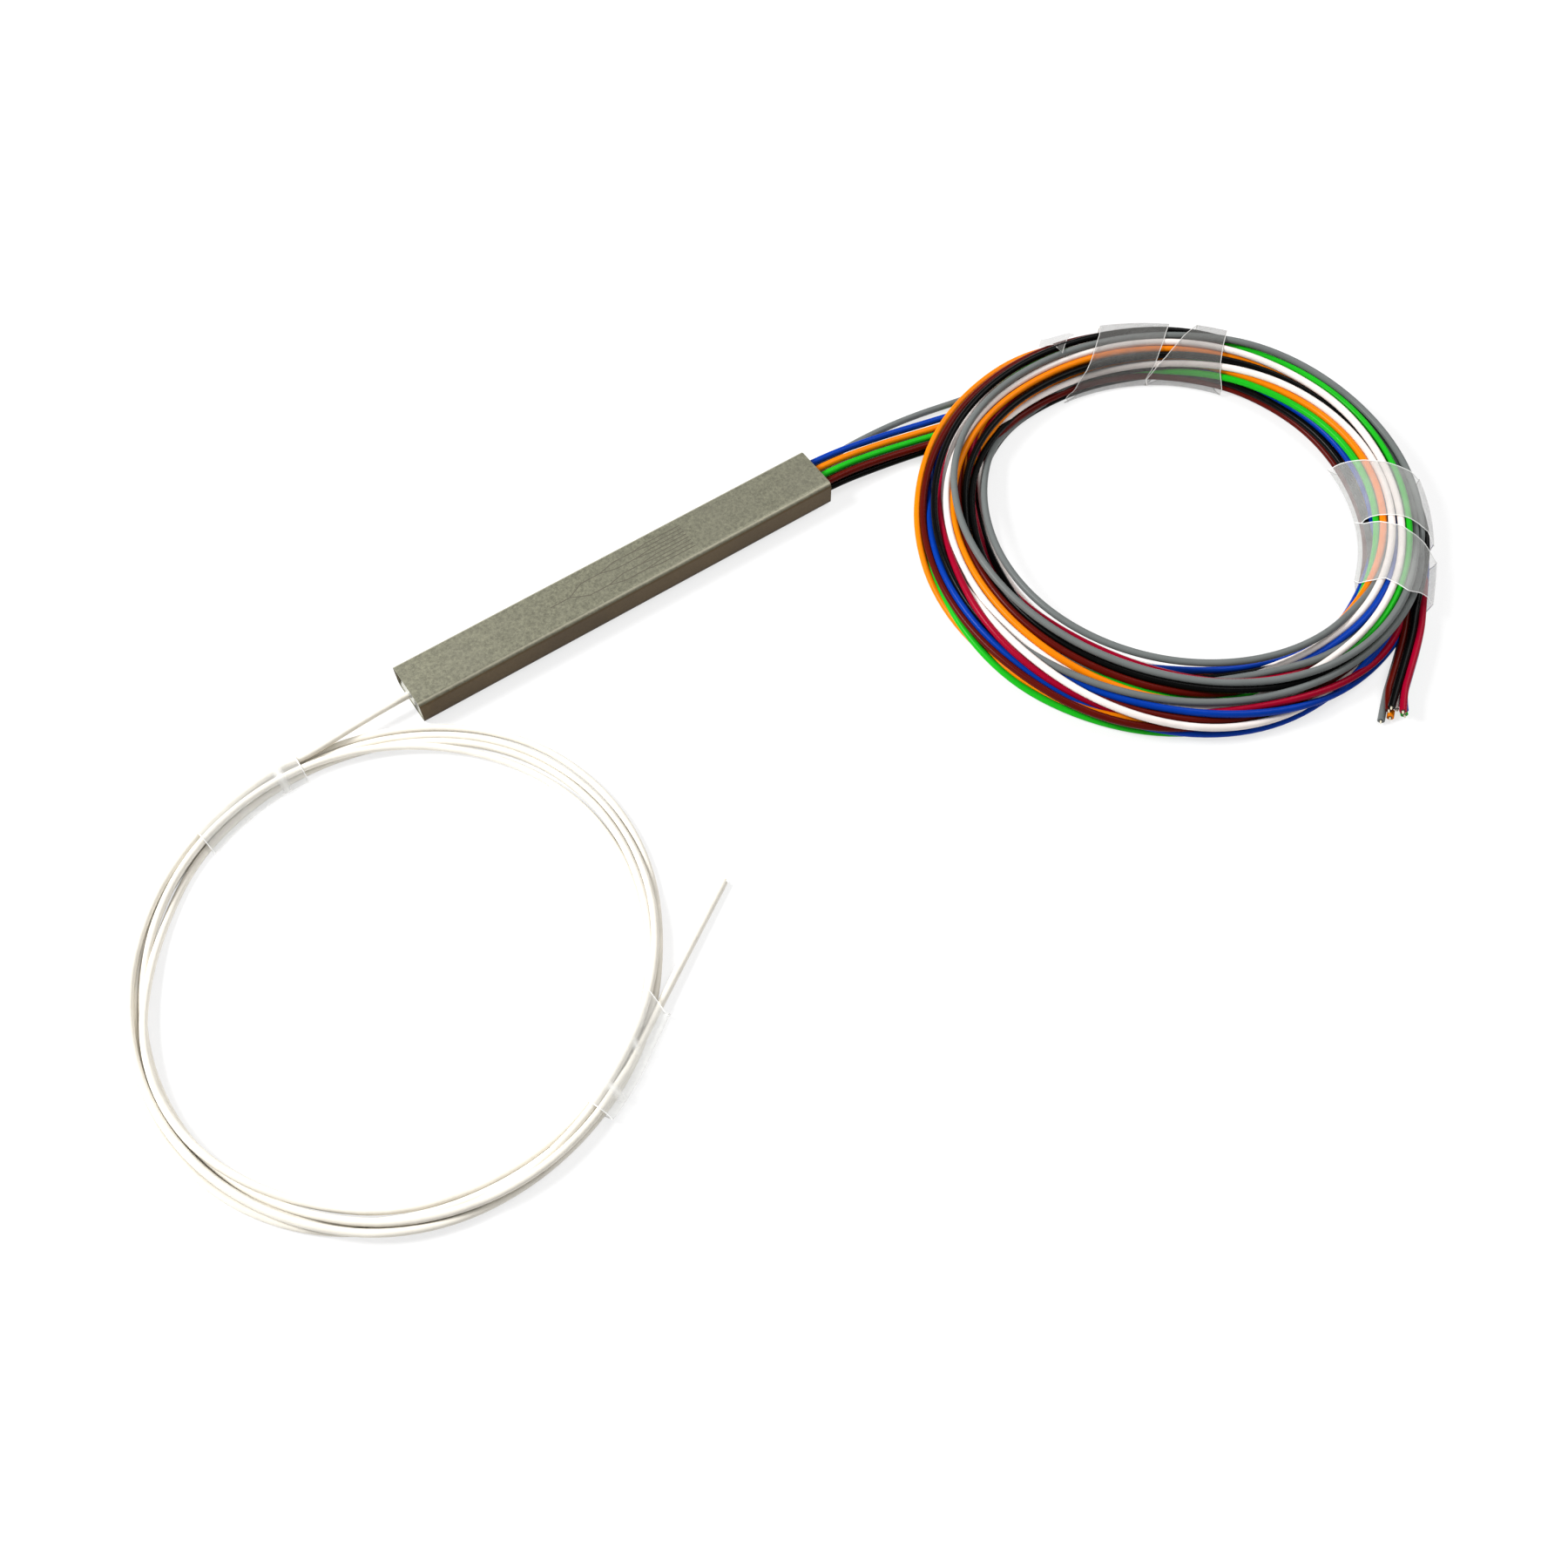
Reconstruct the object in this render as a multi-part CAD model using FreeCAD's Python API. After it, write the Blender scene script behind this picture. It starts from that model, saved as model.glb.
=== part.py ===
"""Steel-tube fibre splitter, one input and eight outputs, with 0.9 mm loose-tube leads wound in two coils.

Frame, in millimetres: the origin is the bottom centre of the steel housing, +X runs to the output end,
+Y to the back and +Z up. The housing and both coils lie on the plane z = 0.
"""
import FreeCAD, Part
import math
import os

V = FreeCAD.Vector

# ---- driving dimensions, mm and degrees ----
HOUSING_LENGTH = 60.0
HOUSING_WIDTH = 7.0
HOUSING_HEIGHT = 4.0
HOUSING_WALL = 0.3
HOUSING_CORNER = 0.8

INPUT_SEAL_LENGTH = 3.0
OUTPUT_SEAL_LENGTH = 3.0
SEAL_MARGIN = 0.1        # how far the seal's rim stays back from the housing's cut end
SEAL_DISH = 0.4          # how deep the middle of the seal's face sinks

TUBE_DIAMETER = 0.9
LEAD_PITCH_Y = 1.3
LEAD_PITCH_Z = 1.2

POLISH_ANGLE = 8.0       # lean of the polished optical faces
CHIP_LENGTH = 14.0
CHIP_WIDTH = 2.5
CHIP_THICKNESS = 1.2
COVER_THICKNESS = 1.0
INPUT_COVER_LENGTH = 2.0
OUTPUT_COVER_LENGTH = 3.0
INPUT_BLOCK_LENGTH = 6.0
INPUT_BLOCK_WIDTH = 2.5
OUTPUT_BLOCK_LENGTH = 7.0
OUTPUT_BLOCK_WIDTH = 3.2
BLOCK_LID_LENGTH = 3.5
ASSEMBLY_SHIFT = -1.0    # the optical train sits this far along X from the housing's middle

FIBRE_GLASS_DIAMETER = 0.125
FIBRE_COAT_DIAMETER = 0.242
RIBBON_PITCH = 0.25
GROOVE_HALF_ANGLE = 35.0
GROOVE_STAND_UP = 0.02   # how far the block's top stands above the fibre's axis

FAN_OUT_START = 4.0      # the coated fibres turn this far past the output block
FAN_OUT_END = 4.0        # and turn back this far before the seal

BED_WIDTH = 4.2
BED_END_MARGIN = 1.0

OUTPUT_COIL_CENTRE = (64.4, -31.2)
OUTPUT_COIL_INNER_RADIUS = 23.5
OUTPUT_COIL_OUTER_RADIUS = 33.8
OUTPUT_COIL_SLACK = 0.3  # the looser left side stands out by this
OUTPUT_COIL_HEIGHT = 4.5
OUTPUT_COIL_SHOULDER = (3.0, 2.6)   # width and height of the rounded shoulders

INPUT_COIL_CENTRE = (-46.9, -29.8)
INPUT_COIL_INNER_RADIUS = 26.8
INPUT_COIL_OUTER_RADIUS = 30.8
INPUT_COIL_HEIGHT = 1.8
INPUT_COIL_SHOULDER = (1.0, 0.8)

FILM_THICKNESS = 0.2
FILM_CLEARANCE = 0.1
FILM_RIM = 0.5           # height of the pinched rim on each side
OUTPUT_FILM_FLARE = 0.9  # how far the film is pinched out past the coil on each side
INPUT_FILM_FLARE = 0.4

# ---- worked out from the above ----
HALF_LENGTH = HOUSING_LENGTH / 2
INSIDE_WIDTH = HOUSING_WIDTH - 2 * HOUSING_WALL
INSIDE_HEIGHT = HOUSING_HEIGHT - 2 * HOUSING_WALL
INSIDE_CORNER = HOUSING_CORNER - HOUSING_WALL
OPTICAL_HEIGHT = HOUSING_HEIGHT / 2
TUBE_RADIUS = TUBE_DIAMETER / 2
GLASS_RADIUS = FIBRE_GLASS_DIAMETER / 2
COAT_RADIUS = FIBRE_COAT_DIAMETER / 2
CHIP_START = ASSEMBLY_SHIFT - CHIP_LENGTH / 2
CHIP_END = ASSEMBLY_SHIFT + CHIP_LENGTH / 2
INPUT_BLOCK_START = CHIP_START - INPUT_BLOCK_LENGTH
OUTPUT_BLOCK_END = CHIP_END + OUTPUT_BLOCK_LENGTH
INPUT_SEAL_FACE = HALF_LENGTH - SEAL_MARGIN - INPUT_SEAL_LENGTH
OUTPUT_SEAL_FACE = HALF_LENGTH - SEAL_MARGIN - OUTPUT_SEAL_LENGTH
COIL_FLOOR = FILM_THICKNESS + FILM_CLEARANCE
TOP_ROW = OPTICAL_HEIGHT + LEAD_PITCH_Z / 2
BOTTOM_ROW = OPTICAL_HEIGHT - LEAD_PITCH_Z / 2
BACK_COLUMN = 1.5 * LEAD_PITCH_Y
INNER_COLUMN = 0.5 * LEAD_PITCH_Y

# Channel order across the ribbon, back to front, with each tube's column and row in the output seal.
OUTPUT_PLACES = {
    "grey": (BACK_COLUMN, BOTTOM_ROW),
    "blue": (BACK_COLUMN, TOP_ROW),
    "white": (INNER_COLUMN, BOTTOM_ROW),
    "orange": (INNER_COLUMN, TOP_ROW),
    "red": (-INNER_COLUMN, BOTTOM_ROW),
    "green": (-INNER_COLUMN, TOP_ROW),
    "black": (-BACK_COLUMN, BOTTOM_ROW),
    "brown": (-BACK_COLUMN, TOP_ROW),
}
CHANNELS = len(OUTPUT_PLACES)

# Routes of the free tubes past the seals. A lead's first point is in line with its place in the seal.
LEAD_ROUTES = {
    "grey": [(31.6, 1.95, 1.4), (38.8, 2.55, 1.15), (47.2, 2.3, 0.8), (56.8, 0.5, 0.55)],
    "blue": [(32.6, 1.95, 2.6), (40.4, 1.15, 2.1), (48.0, -0.4, 1.6), (55.4, -1.9, 1.35)],
    "white": [(31.8, 0.65, 1.4), (39.4, 1.25, 1.05), (47.2, 1.05, 0.7), (55.0, -0.3, 0.5)],
    "orange": [(32.2, 0.65, 2.6), (39.4, -0.15, 2.1), (46.6, -1.4, 1.6), (53.6, -2.9, 1.35)],
    "red": [(32.0, -0.65, 1.4), (39.0, -1.3, 1.05), (46.0, -2.2, 0.7), (52.8, -3.5, 0.5)],
    "green": [(32.4, -0.65, 2.6), (39.2, -1.6, 2.1), (46.0, -2.7, 1.6), (52.6, -4.0, 1.35)],
    "black": [(31.6, -1.95, 1.4), (38.2, -2.9, 1.05), (45.0, -3.7, 0.7), (51.6, -5.0, 0.5)],
    "brown": [(32.0, -1.95, 2.6), (38.6, -2.85, 2.1), (45.2, -3.65, 1.6), (51.6, -4.9, 1.4)],
}
TAIL_ROUTES = {
    "grey": [(77.6, -58.3, 0.6), (73.9, -62.15, 0.45), (69.85, -65.35, 0.45), (64.7, -68.85, 0.45)],
    "orange": [(78.25, -58.95, 0.6), (74.5, -62.85, 0.45), (70.4, -66.1, 0.45), (65.95, -69.15, 0.45)],
    "blue": [(78.95, -59.6, 0.6), (75.1, -63.55, 0.45), (70.9, -66.9, 0.45), (66.85, -69.65, 0.45)],
    "green": [(79.6, -60.3, 0.6), (75.7, -64.25, 0.45), (71.45, -67.65, 0.45), (68.1, -69.95, 0.45)],
    "black": [(77.95, -58.6, 1.4), (74.2, -62.5, 1.25), (70.1, -65.75, 1.25), (65.95, -68.6, 1.25)],
    "white": [(78.6, -59.3, 1.4), (74.8, -63.2, 1.25), (70.65, -66.5, 1.25), (67.4, -68.75, 1.25)],
    "brown": [(79.3, -59.95, 1.4), (75.4, -63.9, 1.25), (71.2, -67.25, 1.25), (68.5, -69.1, 1.25)],
    "red": [(78.95, -59.6, 2.2), (75.1, -63.55, 2.05), (70.9, -66.9, 2.05), (66.65, -69.8, 2.05)],
}
INPUT_LEAD_ROUTE = [(-31.6, 0.0, 2.0), (-37.9, -0.15, 1.75), (-44.2, -0.5, 1.4)]
INPUT_TAIL_ROUTE = [(-33.0, -54.7, 1.1), (-22.3, -47.9, 0.6), (-12.2, -41.8, 0.45)]

# Corners of the film wraps in plan, as (radius, angle) about their coil's centre.
TOP_WRAP_OUTLINE = [(36.5, 66.5), (36.5, 35.0), (19.0, 30.5), (19.0, 92.0)]
TOP_WRAP_GAP = [(36.5, 49.5), (36.5, 43.0), (24.6, 57.5)]
TOP_WRAP_FLAP = [(36.5, 84.5), (36.5, 72.0), (29.8, 78.5)]
TOP_WRAP_UNDER = [(36.5, 84.5), (36.5, 60.0), (26.0, 60.0), (26.0, 82.0)]
SIDE_WRAP_OUTLINE = [(36.5, 334.0), (36.5, 299.0), (19.0, 294.5), (19.0, 341.0)]
SIDE_WRAP_GAP = [(36.5, 313.5), (36.5, 309.5), (24.6, 318.0)]
UPPER_WRAP_OUTLINE = [(34.0, 113.5), (34.0, 87.0), (24.0, 86.0), (24.0, 115.5)]
LOWER_WRAP_OUTLINE = [(34.0, 313.5), (34.0, 289.5), (24.0, 288.5), (24.0, 318.0)]


# ---- shapes that several pieces share ----
def rounded_bar(x_low, x_high, width, z_low, z_high, corner):
    """A bar along X, centred on y = 0, whose section is a rectangle with rounded corners."""
    bar = Part.makeBox(x_high - x_low, width, z_high - z_low, V(x_low, -width / 2, z_low))
    long_edges = [edge for edge in bar.Edges if abs(edge.Vertexes[0].X - edge.Vertexes[-1].X) > 0]
    return bar.makeFillet(corner, long_edges)


def leaning_x(x_axis, z, lean):
    """Where a polished face that crosses the optical axis at x_axis lies at height z."""
    return x_axis + (z - OPTICAL_HEIGHT) * math.tan(math.radians(lean))


def leaning_block(x_low, x_high, width, z_low, z_high, lean_low=0.0, lean_high=0.0):
    """A glass block whose two end faces may lean, as polished faces do."""
    corners = [
        V(leaning_x(x_low, z_low, lean_low), -width / 2, z_low),
        V(leaning_x(x_high, z_low, lean_high), -width / 2, z_low),
        V(leaning_x(x_high, z_high, lean_high), -width / 2, z_high),
        V(leaning_x(x_low, z_high, lean_low), -width / 2, z_high),
    ]
    outline = Part.makePolygon(corners + corners[:1])
    return Part.Face(outline).extrude(V(0, width, 0))


def tube_along(points, radius, name=None):
    """A round tube along straight runs joined by tangent arcs, each as large as its two runs allow."""
    stations = [V(*point) for point in points]
    edges = []
    start = stations[0]
    radii = []
    for before, corner, after in zip(stations, stations[1:], stations[2:]):
        inward = (corner - before).normalize()
        outward = (after - corner).normalize()
        half_turn = inward.getAngle(outward) / 2
        reach = 0.45 * min((corner - before).Length, (after - corner).Length)
        arc_start = corner - inward * reach
        arc_end = corner + outward * reach
        bend_radius = reach / math.tan(half_turn)
        bisector = (outward - inward).normalize()
        middle = corner + bisector * (bend_radius / math.cos(half_turn) - bend_radius)
        edges.append(Part.LineSegment(start, arc_start).toShape())
        edges.append(Part.Arc(arc_start, middle, arc_end).toShape())
        radii.append(bend_radius)
        start = arc_end
    edges.append(Part.LineSegment(start, stations[-1]).toShape())
    path = Part.Wire(edges)
    section = Part.Wire(Part.makeCircle(radius, stations[0], stations[1] - stations[0]))
    tube = path.makePipeShell([section], True, False)
    if name:
        swept = math.pi * radius ** 2 * path.Length
        print(f"{name}: {path.Length:.1f} mm, smallest arc {min(radii):.0f} mm, volume / swept {tube.Volume / swept:.4f}")
    return tube


def coil_sides(coil, gap=0.0, flare=0.0):
    """Half sections of a coil's inner and outer side, bottom to crown, grown by the gap and pinched out by the flare."""
    centre, inner_radius, outer_radius, z_low, height, (width, drop), slack = coil
    bottom, crown = z_low - gap, z_low + height + gap
    sides = []
    for edge, inwards in ((inner_radius, 1), (outer_radius, -1)):
        foot = edge - inwards * (gap + flare)
        rim = bottom + gap + FILM_RIM if flare else crown - drop
        sides.append([(foot, bottom), (foot, rim), (edge + inwards * (0.35 * width - gap), crown - 0.35 * drop),
                      (edge + inwards * width, crown)])
    return sides


def turned(centre, shift, section):
    """A solid turned about the coil's upright axis from (radius, z) points."""
    points = [V(centre[0] - shift + radius, centre[1], z) for radius, z in section]
    face = Part.Face(Part.makePolygon(points + points[:1]))
    return face.revolve(V(centre[0] - shift, centre[1], 0), V(0, 0, 1), 360)


def coil_body(coil, gap=0.0, flare=0.0):
    """The outer shape of a coil that lies flat: a ring with rounded shoulders, wider towards -X by the slack."""
    centre, slack = coil[0], coil[6]
    inner_side, outer_side = coil_sides(coil, gap, flare)
    bottom, crown = inner_side[0][1], inner_side[-1][1]
    disc = turned(centre, slack, [(0, bottom)] + outer_side + [(0, crown)])
    hole = turned(centre, 0.0, [(0, bottom - 1), (inner_side[0][0], bottom - 1)] + inner_side
                  + [(inner_side[-1][0], crown + 1), (0, crown + 1)])
    return disc.cut(hole)


def plan_prism(centre, corners, z_low, z_high):
    """A prism over an outline whose corners are (radius, angle) about the centre."""
    points = []
    for radius, angle in corners:
        turn = math.radians(angle)
        points.append(V(centre[0] + radius * math.cos(turn), centre[1] + radius * math.sin(turn), z_low))
    return Part.Face(Part.makePolygon(points + points[:1])).extrude(V(0, 0, z_high - z_low))


def film_wrap(coil, flare, outline, gap=None, flap=None, under=None):
    """Clear film wound round a coil: a thin pinched sleeve, cut to the outline, with the gap between its turns open."""
    centre = coil[0]
    top = coil[3] + coil[4] + 1.0
    sleeve = coil_body(coil, FILM_CLEARANCE + FILM_THICKNESS, flare).cut(coil_body(coil, FILM_CLEARANCE, flare))
    region = plan_prism(centre, outline, -1.0, top)
    if gap:
        region = region.cut(plan_prism(centre, gap, -1.0, top))
    if flap:
        region = region.fuse([plan_prism(centre, flap, -1.0, top), plan_prism(centre, under, -1.0, FILM_THICKNESS)])
    return sleeve.common(region)


# ---- the housing and its end seals ----
def steel_housing():
    """Flattened stainless tube, cut square at both ends."""
    outside = rounded_bar(-HALF_LENGTH, HALF_LENGTH, HOUSING_WIDTH, 0, HOUSING_HEIGHT, HOUSING_CORNER)
    inside = rounded_bar(-HALF_LENGTH, HALF_LENGTH, INSIDE_WIDTH, HOUSING_WALL, HOUSING_HEIGHT - HOUSING_WALL,
                         INSIDE_CORNER)
    return outside.cut(inside)


def end_seal(x_low, x_high, dished_end, tubes):
    """Adhesive plug that fills the tube's end, sunk in the middle, cast round each loose tube."""
    plug = rounded_bar(x_low, x_high, INSIDE_WIDTH, HOUSING_WALL, HOUSING_HEIGHT - HOUSING_WALL, INSIDE_CORNER)
    dish_radius = ((INSIDE_HEIGHT / 2) ** 2 + SEAL_DISH ** 2) / (2 * SEAL_DISH)
    dish_x = dished_end + math.copysign(dish_radius - SEAL_DISH, dished_end)
    dish = Part.makeCylinder(dish_radius, INSIDE_WIDTH, V(dish_x, -INSIDE_WIDTH / 2, OPTICAL_HEIGHT), V(0, 1, 0))
    return plug.cut([dish] + tubes)


# ---- the optical train inside ----
def groove_cutter(x_low, x_high, y):
    """The V that holds one glass fibre with its axis on the optical height."""
    half_angle = math.radians(GROOVE_HALF_ANGLE)
    depth = GLASS_RADIUS / math.sin(half_angle)
    top = OPTICAL_HEIGHT + GROOVE_STAND_UP
    half_mouth = (depth + GROOVE_STAND_UP) * math.tan(half_angle)
    corners = [V(x_low, y, OPTICAL_HEIGHT - depth), V(x_low, y + half_mouth, top), V(x_low, y - half_mouth, top)]
    return Part.Face(Part.makePolygon(corners + corners[:1])).extrude(V(x_high - x_low, 0, 0))


def groove_block(face_x, length, width, channel_rows, towards_input):
    """V-groove base: polished at the chip's face, with a lower shelf for the coated fibres behind the lid."""
    far_x = face_x - length if towards_input else face_x + length
    lid_x = face_x - BLOCK_LID_LENGTH if towards_input else face_x + BLOCK_LID_LENGTH
    low = OPTICAL_HEIGHT - CHIP_THICKNESS
    high = OPTICAL_HEIGHT + GROOVE_STAND_UP
    leans = (0.0, POLISH_ANGLE) if towards_input else (POLISH_ANGLE, 0.0)
    base = leaning_block(min(face_x, far_x), max(face_x, far_x), width, low, high, *leans)
    shelf = Part.makeBox(abs(far_x - lid_x), width, high - OPTICAL_HEIGHT + COAT_RADIUS,
                         V(min(far_x, lid_x), -width / 2, OPTICAL_HEIGHT - COAT_RADIUS))
    base = base.cut(shelf)
    spill = CHIP_THICKNESS * math.tan(math.radians(POLISH_ANGLE))
    for y in channel_rows:
        base = base.cut(groove_cutter(min(face_x, lid_x) - spill, max(face_x, lid_x) + spill, y))
    return base


def block_lid(face_x, width, towards_input):
    """Glass lid that presses the fibres into their grooves, polished with the base."""
    far_x = face_x - BLOCK_LID_LENGTH if towards_input else face_x + BLOCK_LID_LENGTH
    leans = (0.0, POLISH_ANGLE) if towards_input else (POLISH_ANGLE, 0.0)
    low = OPTICAL_HEIGHT + GLASS_RADIUS
    high = OPTICAL_HEIGHT + COVER_THICKNESS
    return leaning_block(min(face_x, far_x), max(face_x, far_x), width, low, high, *leans)


def waveguide_chip():
    low = OPTICAL_HEIGHT - CHIP_THICKNESS
    return leaning_block(CHIP_START, CHIP_END, CHIP_WIDTH, low, OPTICAL_HEIGHT, POLISH_ANGLE, POLISH_ANGLE)


def chip_cover(x_low, x_high, lean_low, lean_high):
    high = OPTICAL_HEIGHT + COVER_THICKNESS
    return leaning_block(x_low, x_high, CHIP_WIDTH, OPTICAL_HEIGHT, high, lean_low, lean_high)


def support_bed():
    """Soft adhesive bed between the housing's floor and the three glass blocks."""
    length = OUTPUT_BLOCK_END - INPUT_BLOCK_START - 2 * BED_END_MARGIN
    depth = OPTICAL_HEIGHT - CHIP_THICKNESS - HOUSING_WALL
    corner = V(INPUT_BLOCK_START + BED_END_MARGIN, -BED_WIDTH / 2, HOUSING_WALL)
    return Part.makeBox(length, BED_WIDTH, depth, corner)


def polished_envelope():
    """The space between the two polished faces, which the fibres' glass ends at."""
    return leaning_block(CHIP_START, CHIP_END, CHIP_WIDTH, OPTICAL_HEIGHT - CHIP_THICKNESS,
                         OPTICAL_HEIGHT + COVER_THICKNESS, POLISH_ANGLE, POLISH_ANGLE)


def inner_fibre(coated_route):
    """One fibre: bare glass from the chip's polished face through its groove, then coated to its loose tube."""
    x, y, z = coated_route[0]
    glass = Part.makeCylinder(GLASS_RADIUS, abs(x - ASSEMBLY_SHIFT), V(min(x, ASSEMBLY_SHIFT), y, z), V(1, 0, 0))
    return glass.cut(polished_envelope()).fuse(tube_along(coated_route, COAT_RADIUS))


def fan_out_route(ribbon_y, tube_y, tube_z):
    """A coated fibre's way from the ribbon on the output block's shelf to its loose tube."""
    return [
        (CHIP_END + BLOCK_LID_LENGTH, ribbon_y, OPTICAL_HEIGHT),
        (OUTPUT_BLOCK_END + FAN_OUT_START, ribbon_y, OPTICAL_HEIGHT),
        (OUTPUT_SEAL_FACE - FAN_OUT_END, tube_y, tube_z),
        (OUTPUT_SEAL_FACE, tube_y, tube_z),
    ]


def ribbon_row(channel):
    """A channel's place across the ribbon, from the back."""
    return ((CHANNELS - 1) / 2 - channel) * RIBBON_PITCH


def inner_output_fibres():
    fibres = []
    for channel, (tube_y, tube_z) in enumerate(OUTPUT_PLACES.values()):
        fibres.append(inner_fibre(fan_out_route(ribbon_row(channel), tube_y, tube_z)))
    return Part.makeCompound(fibres)


def inner_input_fibre():
    lid_end = CHIP_START - BLOCK_LID_LENGTH
    return inner_fibre([(lid_end, 0, OPTICAL_HEIGHT), (-INPUT_SEAL_FACE, 0, OPTICAL_HEIGHT)])


# ---- every piece by its node's name ----
OUTPUT_COIL = (OUTPUT_COIL_CENTRE, OUTPUT_COIL_INNER_RADIUS, OUTPUT_COIL_OUTER_RADIUS, COIL_FLOOR,
               OUTPUT_COIL_HEIGHT, OUTPUT_COIL_SHOULDER, OUTPUT_COIL_SLACK)
INPUT_COIL = (INPUT_COIL_CENTRE, INPUT_COIL_INNER_RADIUS, INPUT_COIL_OUTER_RADIUS, COIL_FLOOR,
              INPUT_COIL_HEIGHT, INPUT_COIL_SHOULDER, 0.0)


def free_tubes():
    """Each loose tube's free stretches: the leads from the seals to the coils, and the tails past them."""
    tubes = {
        "input_lead": [(-INPUT_SEAL_FACE, 0, OPTICAL_HEIGHT)] + INPUT_LEAD_ROUTE,
        "input_tail": INPUT_TAIL_ROUTE,
    }
    for colour, (tube_y, tube_z) in OUTPUT_PLACES.items():
        tubes[f"output_lead_{colour}"] = [(OUTPUT_SEAL_FACE, tube_y, tube_z)] + LEAD_ROUTES[colour]
        tubes[f"output_tail_{colour}"] = TAIL_ROUTES[colour]
    return {name: tube_along(route, TUBE_RADIUS, name) for name, route in tubes.items()}


def build_nodes():
    tubes = free_tubes()
    output_leads = [tube for name, tube in tubes.items() if name.startswith("output_lead")]
    ribbon_rows = [ribbon_row(channel) for channel in range(CHANNELS)]
    seal_rim = HALF_LENGTH - SEAL_MARGIN
    nodes = {
        "steel_housing": steel_housing(),
        "input_end_seal": end_seal(-seal_rim, -INPUT_SEAL_FACE, -seal_rim, [tubes["input_lead"]]),
        "output_end_seal": end_seal(OUTPUT_SEAL_FACE, seal_rim, seal_rim, output_leads),
        "support_bed": support_bed(),
        "waveguide_chip": waveguide_chip(),
        "chip_cover_input": chip_cover(CHIP_START, CHIP_START + INPUT_COVER_LENGTH, POLISH_ANGLE, 0.0),
        "chip_cover_output": chip_cover(CHIP_END - OUTPUT_COVER_LENGTH, CHIP_END, 0.0, POLISH_ANGLE),
        "input_fibre_block": groove_block(CHIP_START, INPUT_BLOCK_LENGTH, INPUT_BLOCK_WIDTH, [0.0], True),
        "input_block_lid": block_lid(CHIP_START, INPUT_BLOCK_WIDTH, True),
        "output_fibre_block": groove_block(CHIP_END, OUTPUT_BLOCK_LENGTH, OUTPUT_BLOCK_WIDTH, ribbon_rows, False),
        "output_block_lid": block_lid(CHIP_END, OUTPUT_BLOCK_WIDTH, False),
        "inner_input_fibre": inner_input_fibre(),
        "inner_output_fibres": inner_output_fibres(),
        "input_coil": coil_body(INPUT_COIL),
        "output_coil": coil_body(OUTPUT_COIL),
        "output_wrap_top": film_wrap(OUTPUT_COIL, OUTPUT_FILM_FLARE, TOP_WRAP_OUTLINE, TOP_WRAP_GAP, TOP_WRAP_FLAP, TOP_WRAP_UNDER),
        "output_wrap_side": film_wrap(OUTPUT_COIL, OUTPUT_FILM_FLARE, SIDE_WRAP_OUTLINE, SIDE_WRAP_GAP),
        "input_wrap_upper": film_wrap(INPUT_COIL, INPUT_FILM_FLARE, UPPER_WRAP_OUTLINE),
        "input_wrap_lower": film_wrap(INPUT_COIL, INPUT_FILM_FLARE, LOWER_WRAP_OUTLINE),
    }
    nodes.update(tubes)
    return nodes


os.makedirs("parts", exist_ok=True)
for node_name, shape in build_nodes().items():
    shape.exportStep(f"parts/{node_name}.step")
    print(node_name, "solids", len(shape.Solids), "valid", shape.isValid(), f"volume {shape.Volume:.3f}")
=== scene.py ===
"""Looks of an eight-way fibre splitter in a steel case.

One natural input tube and eight coloured output tubes are wound in two flat coils that clear film holds.
"""
import math

import bmesh
import bpy
import numpy as np
from bpy.props import FloatProperty, FloatVectorProperty, IntProperty, PointerProperty
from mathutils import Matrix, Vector


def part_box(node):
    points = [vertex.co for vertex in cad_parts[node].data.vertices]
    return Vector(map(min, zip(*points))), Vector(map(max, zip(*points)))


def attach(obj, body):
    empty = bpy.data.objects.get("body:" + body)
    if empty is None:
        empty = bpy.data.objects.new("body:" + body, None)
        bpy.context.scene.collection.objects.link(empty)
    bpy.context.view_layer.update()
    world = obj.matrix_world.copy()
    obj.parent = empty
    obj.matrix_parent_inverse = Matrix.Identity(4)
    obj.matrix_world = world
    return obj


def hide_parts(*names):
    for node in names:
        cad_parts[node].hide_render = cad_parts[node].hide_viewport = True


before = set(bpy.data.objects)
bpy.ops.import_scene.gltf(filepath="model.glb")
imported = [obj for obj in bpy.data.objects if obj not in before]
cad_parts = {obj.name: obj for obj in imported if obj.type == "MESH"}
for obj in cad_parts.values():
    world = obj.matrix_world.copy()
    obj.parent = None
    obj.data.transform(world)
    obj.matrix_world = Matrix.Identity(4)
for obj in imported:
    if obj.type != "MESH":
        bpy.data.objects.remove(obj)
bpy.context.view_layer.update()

bl_info = {
    "name": "Eight-way fibre splitter",
    "version": (1, 0, 0),
    "blender": (4, 5, 0),
    "location": "View3D > Sidebar > Splitter",
    "description": "Dresses the packed splitter with tubes, film wraps, finishes and a studio",
    "category": "Object",
}

MM = 0.001
HOUSING_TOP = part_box("steel_housing")[1][2]
TUBE = 0.9  # diameter of every loose tube, in millimetres
STEP = 15.0  # degrees between the control points of a wound tube
COLOURS = ("grey", "blue", "white", "orange", "red", "green", "black", "brown")


# ---------------------------------------------------------------- routes, in millimetres
OUT_CENTRE = (64.4, -31.2)
IN_CENTRE = (-46.9, -29.8)
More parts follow.
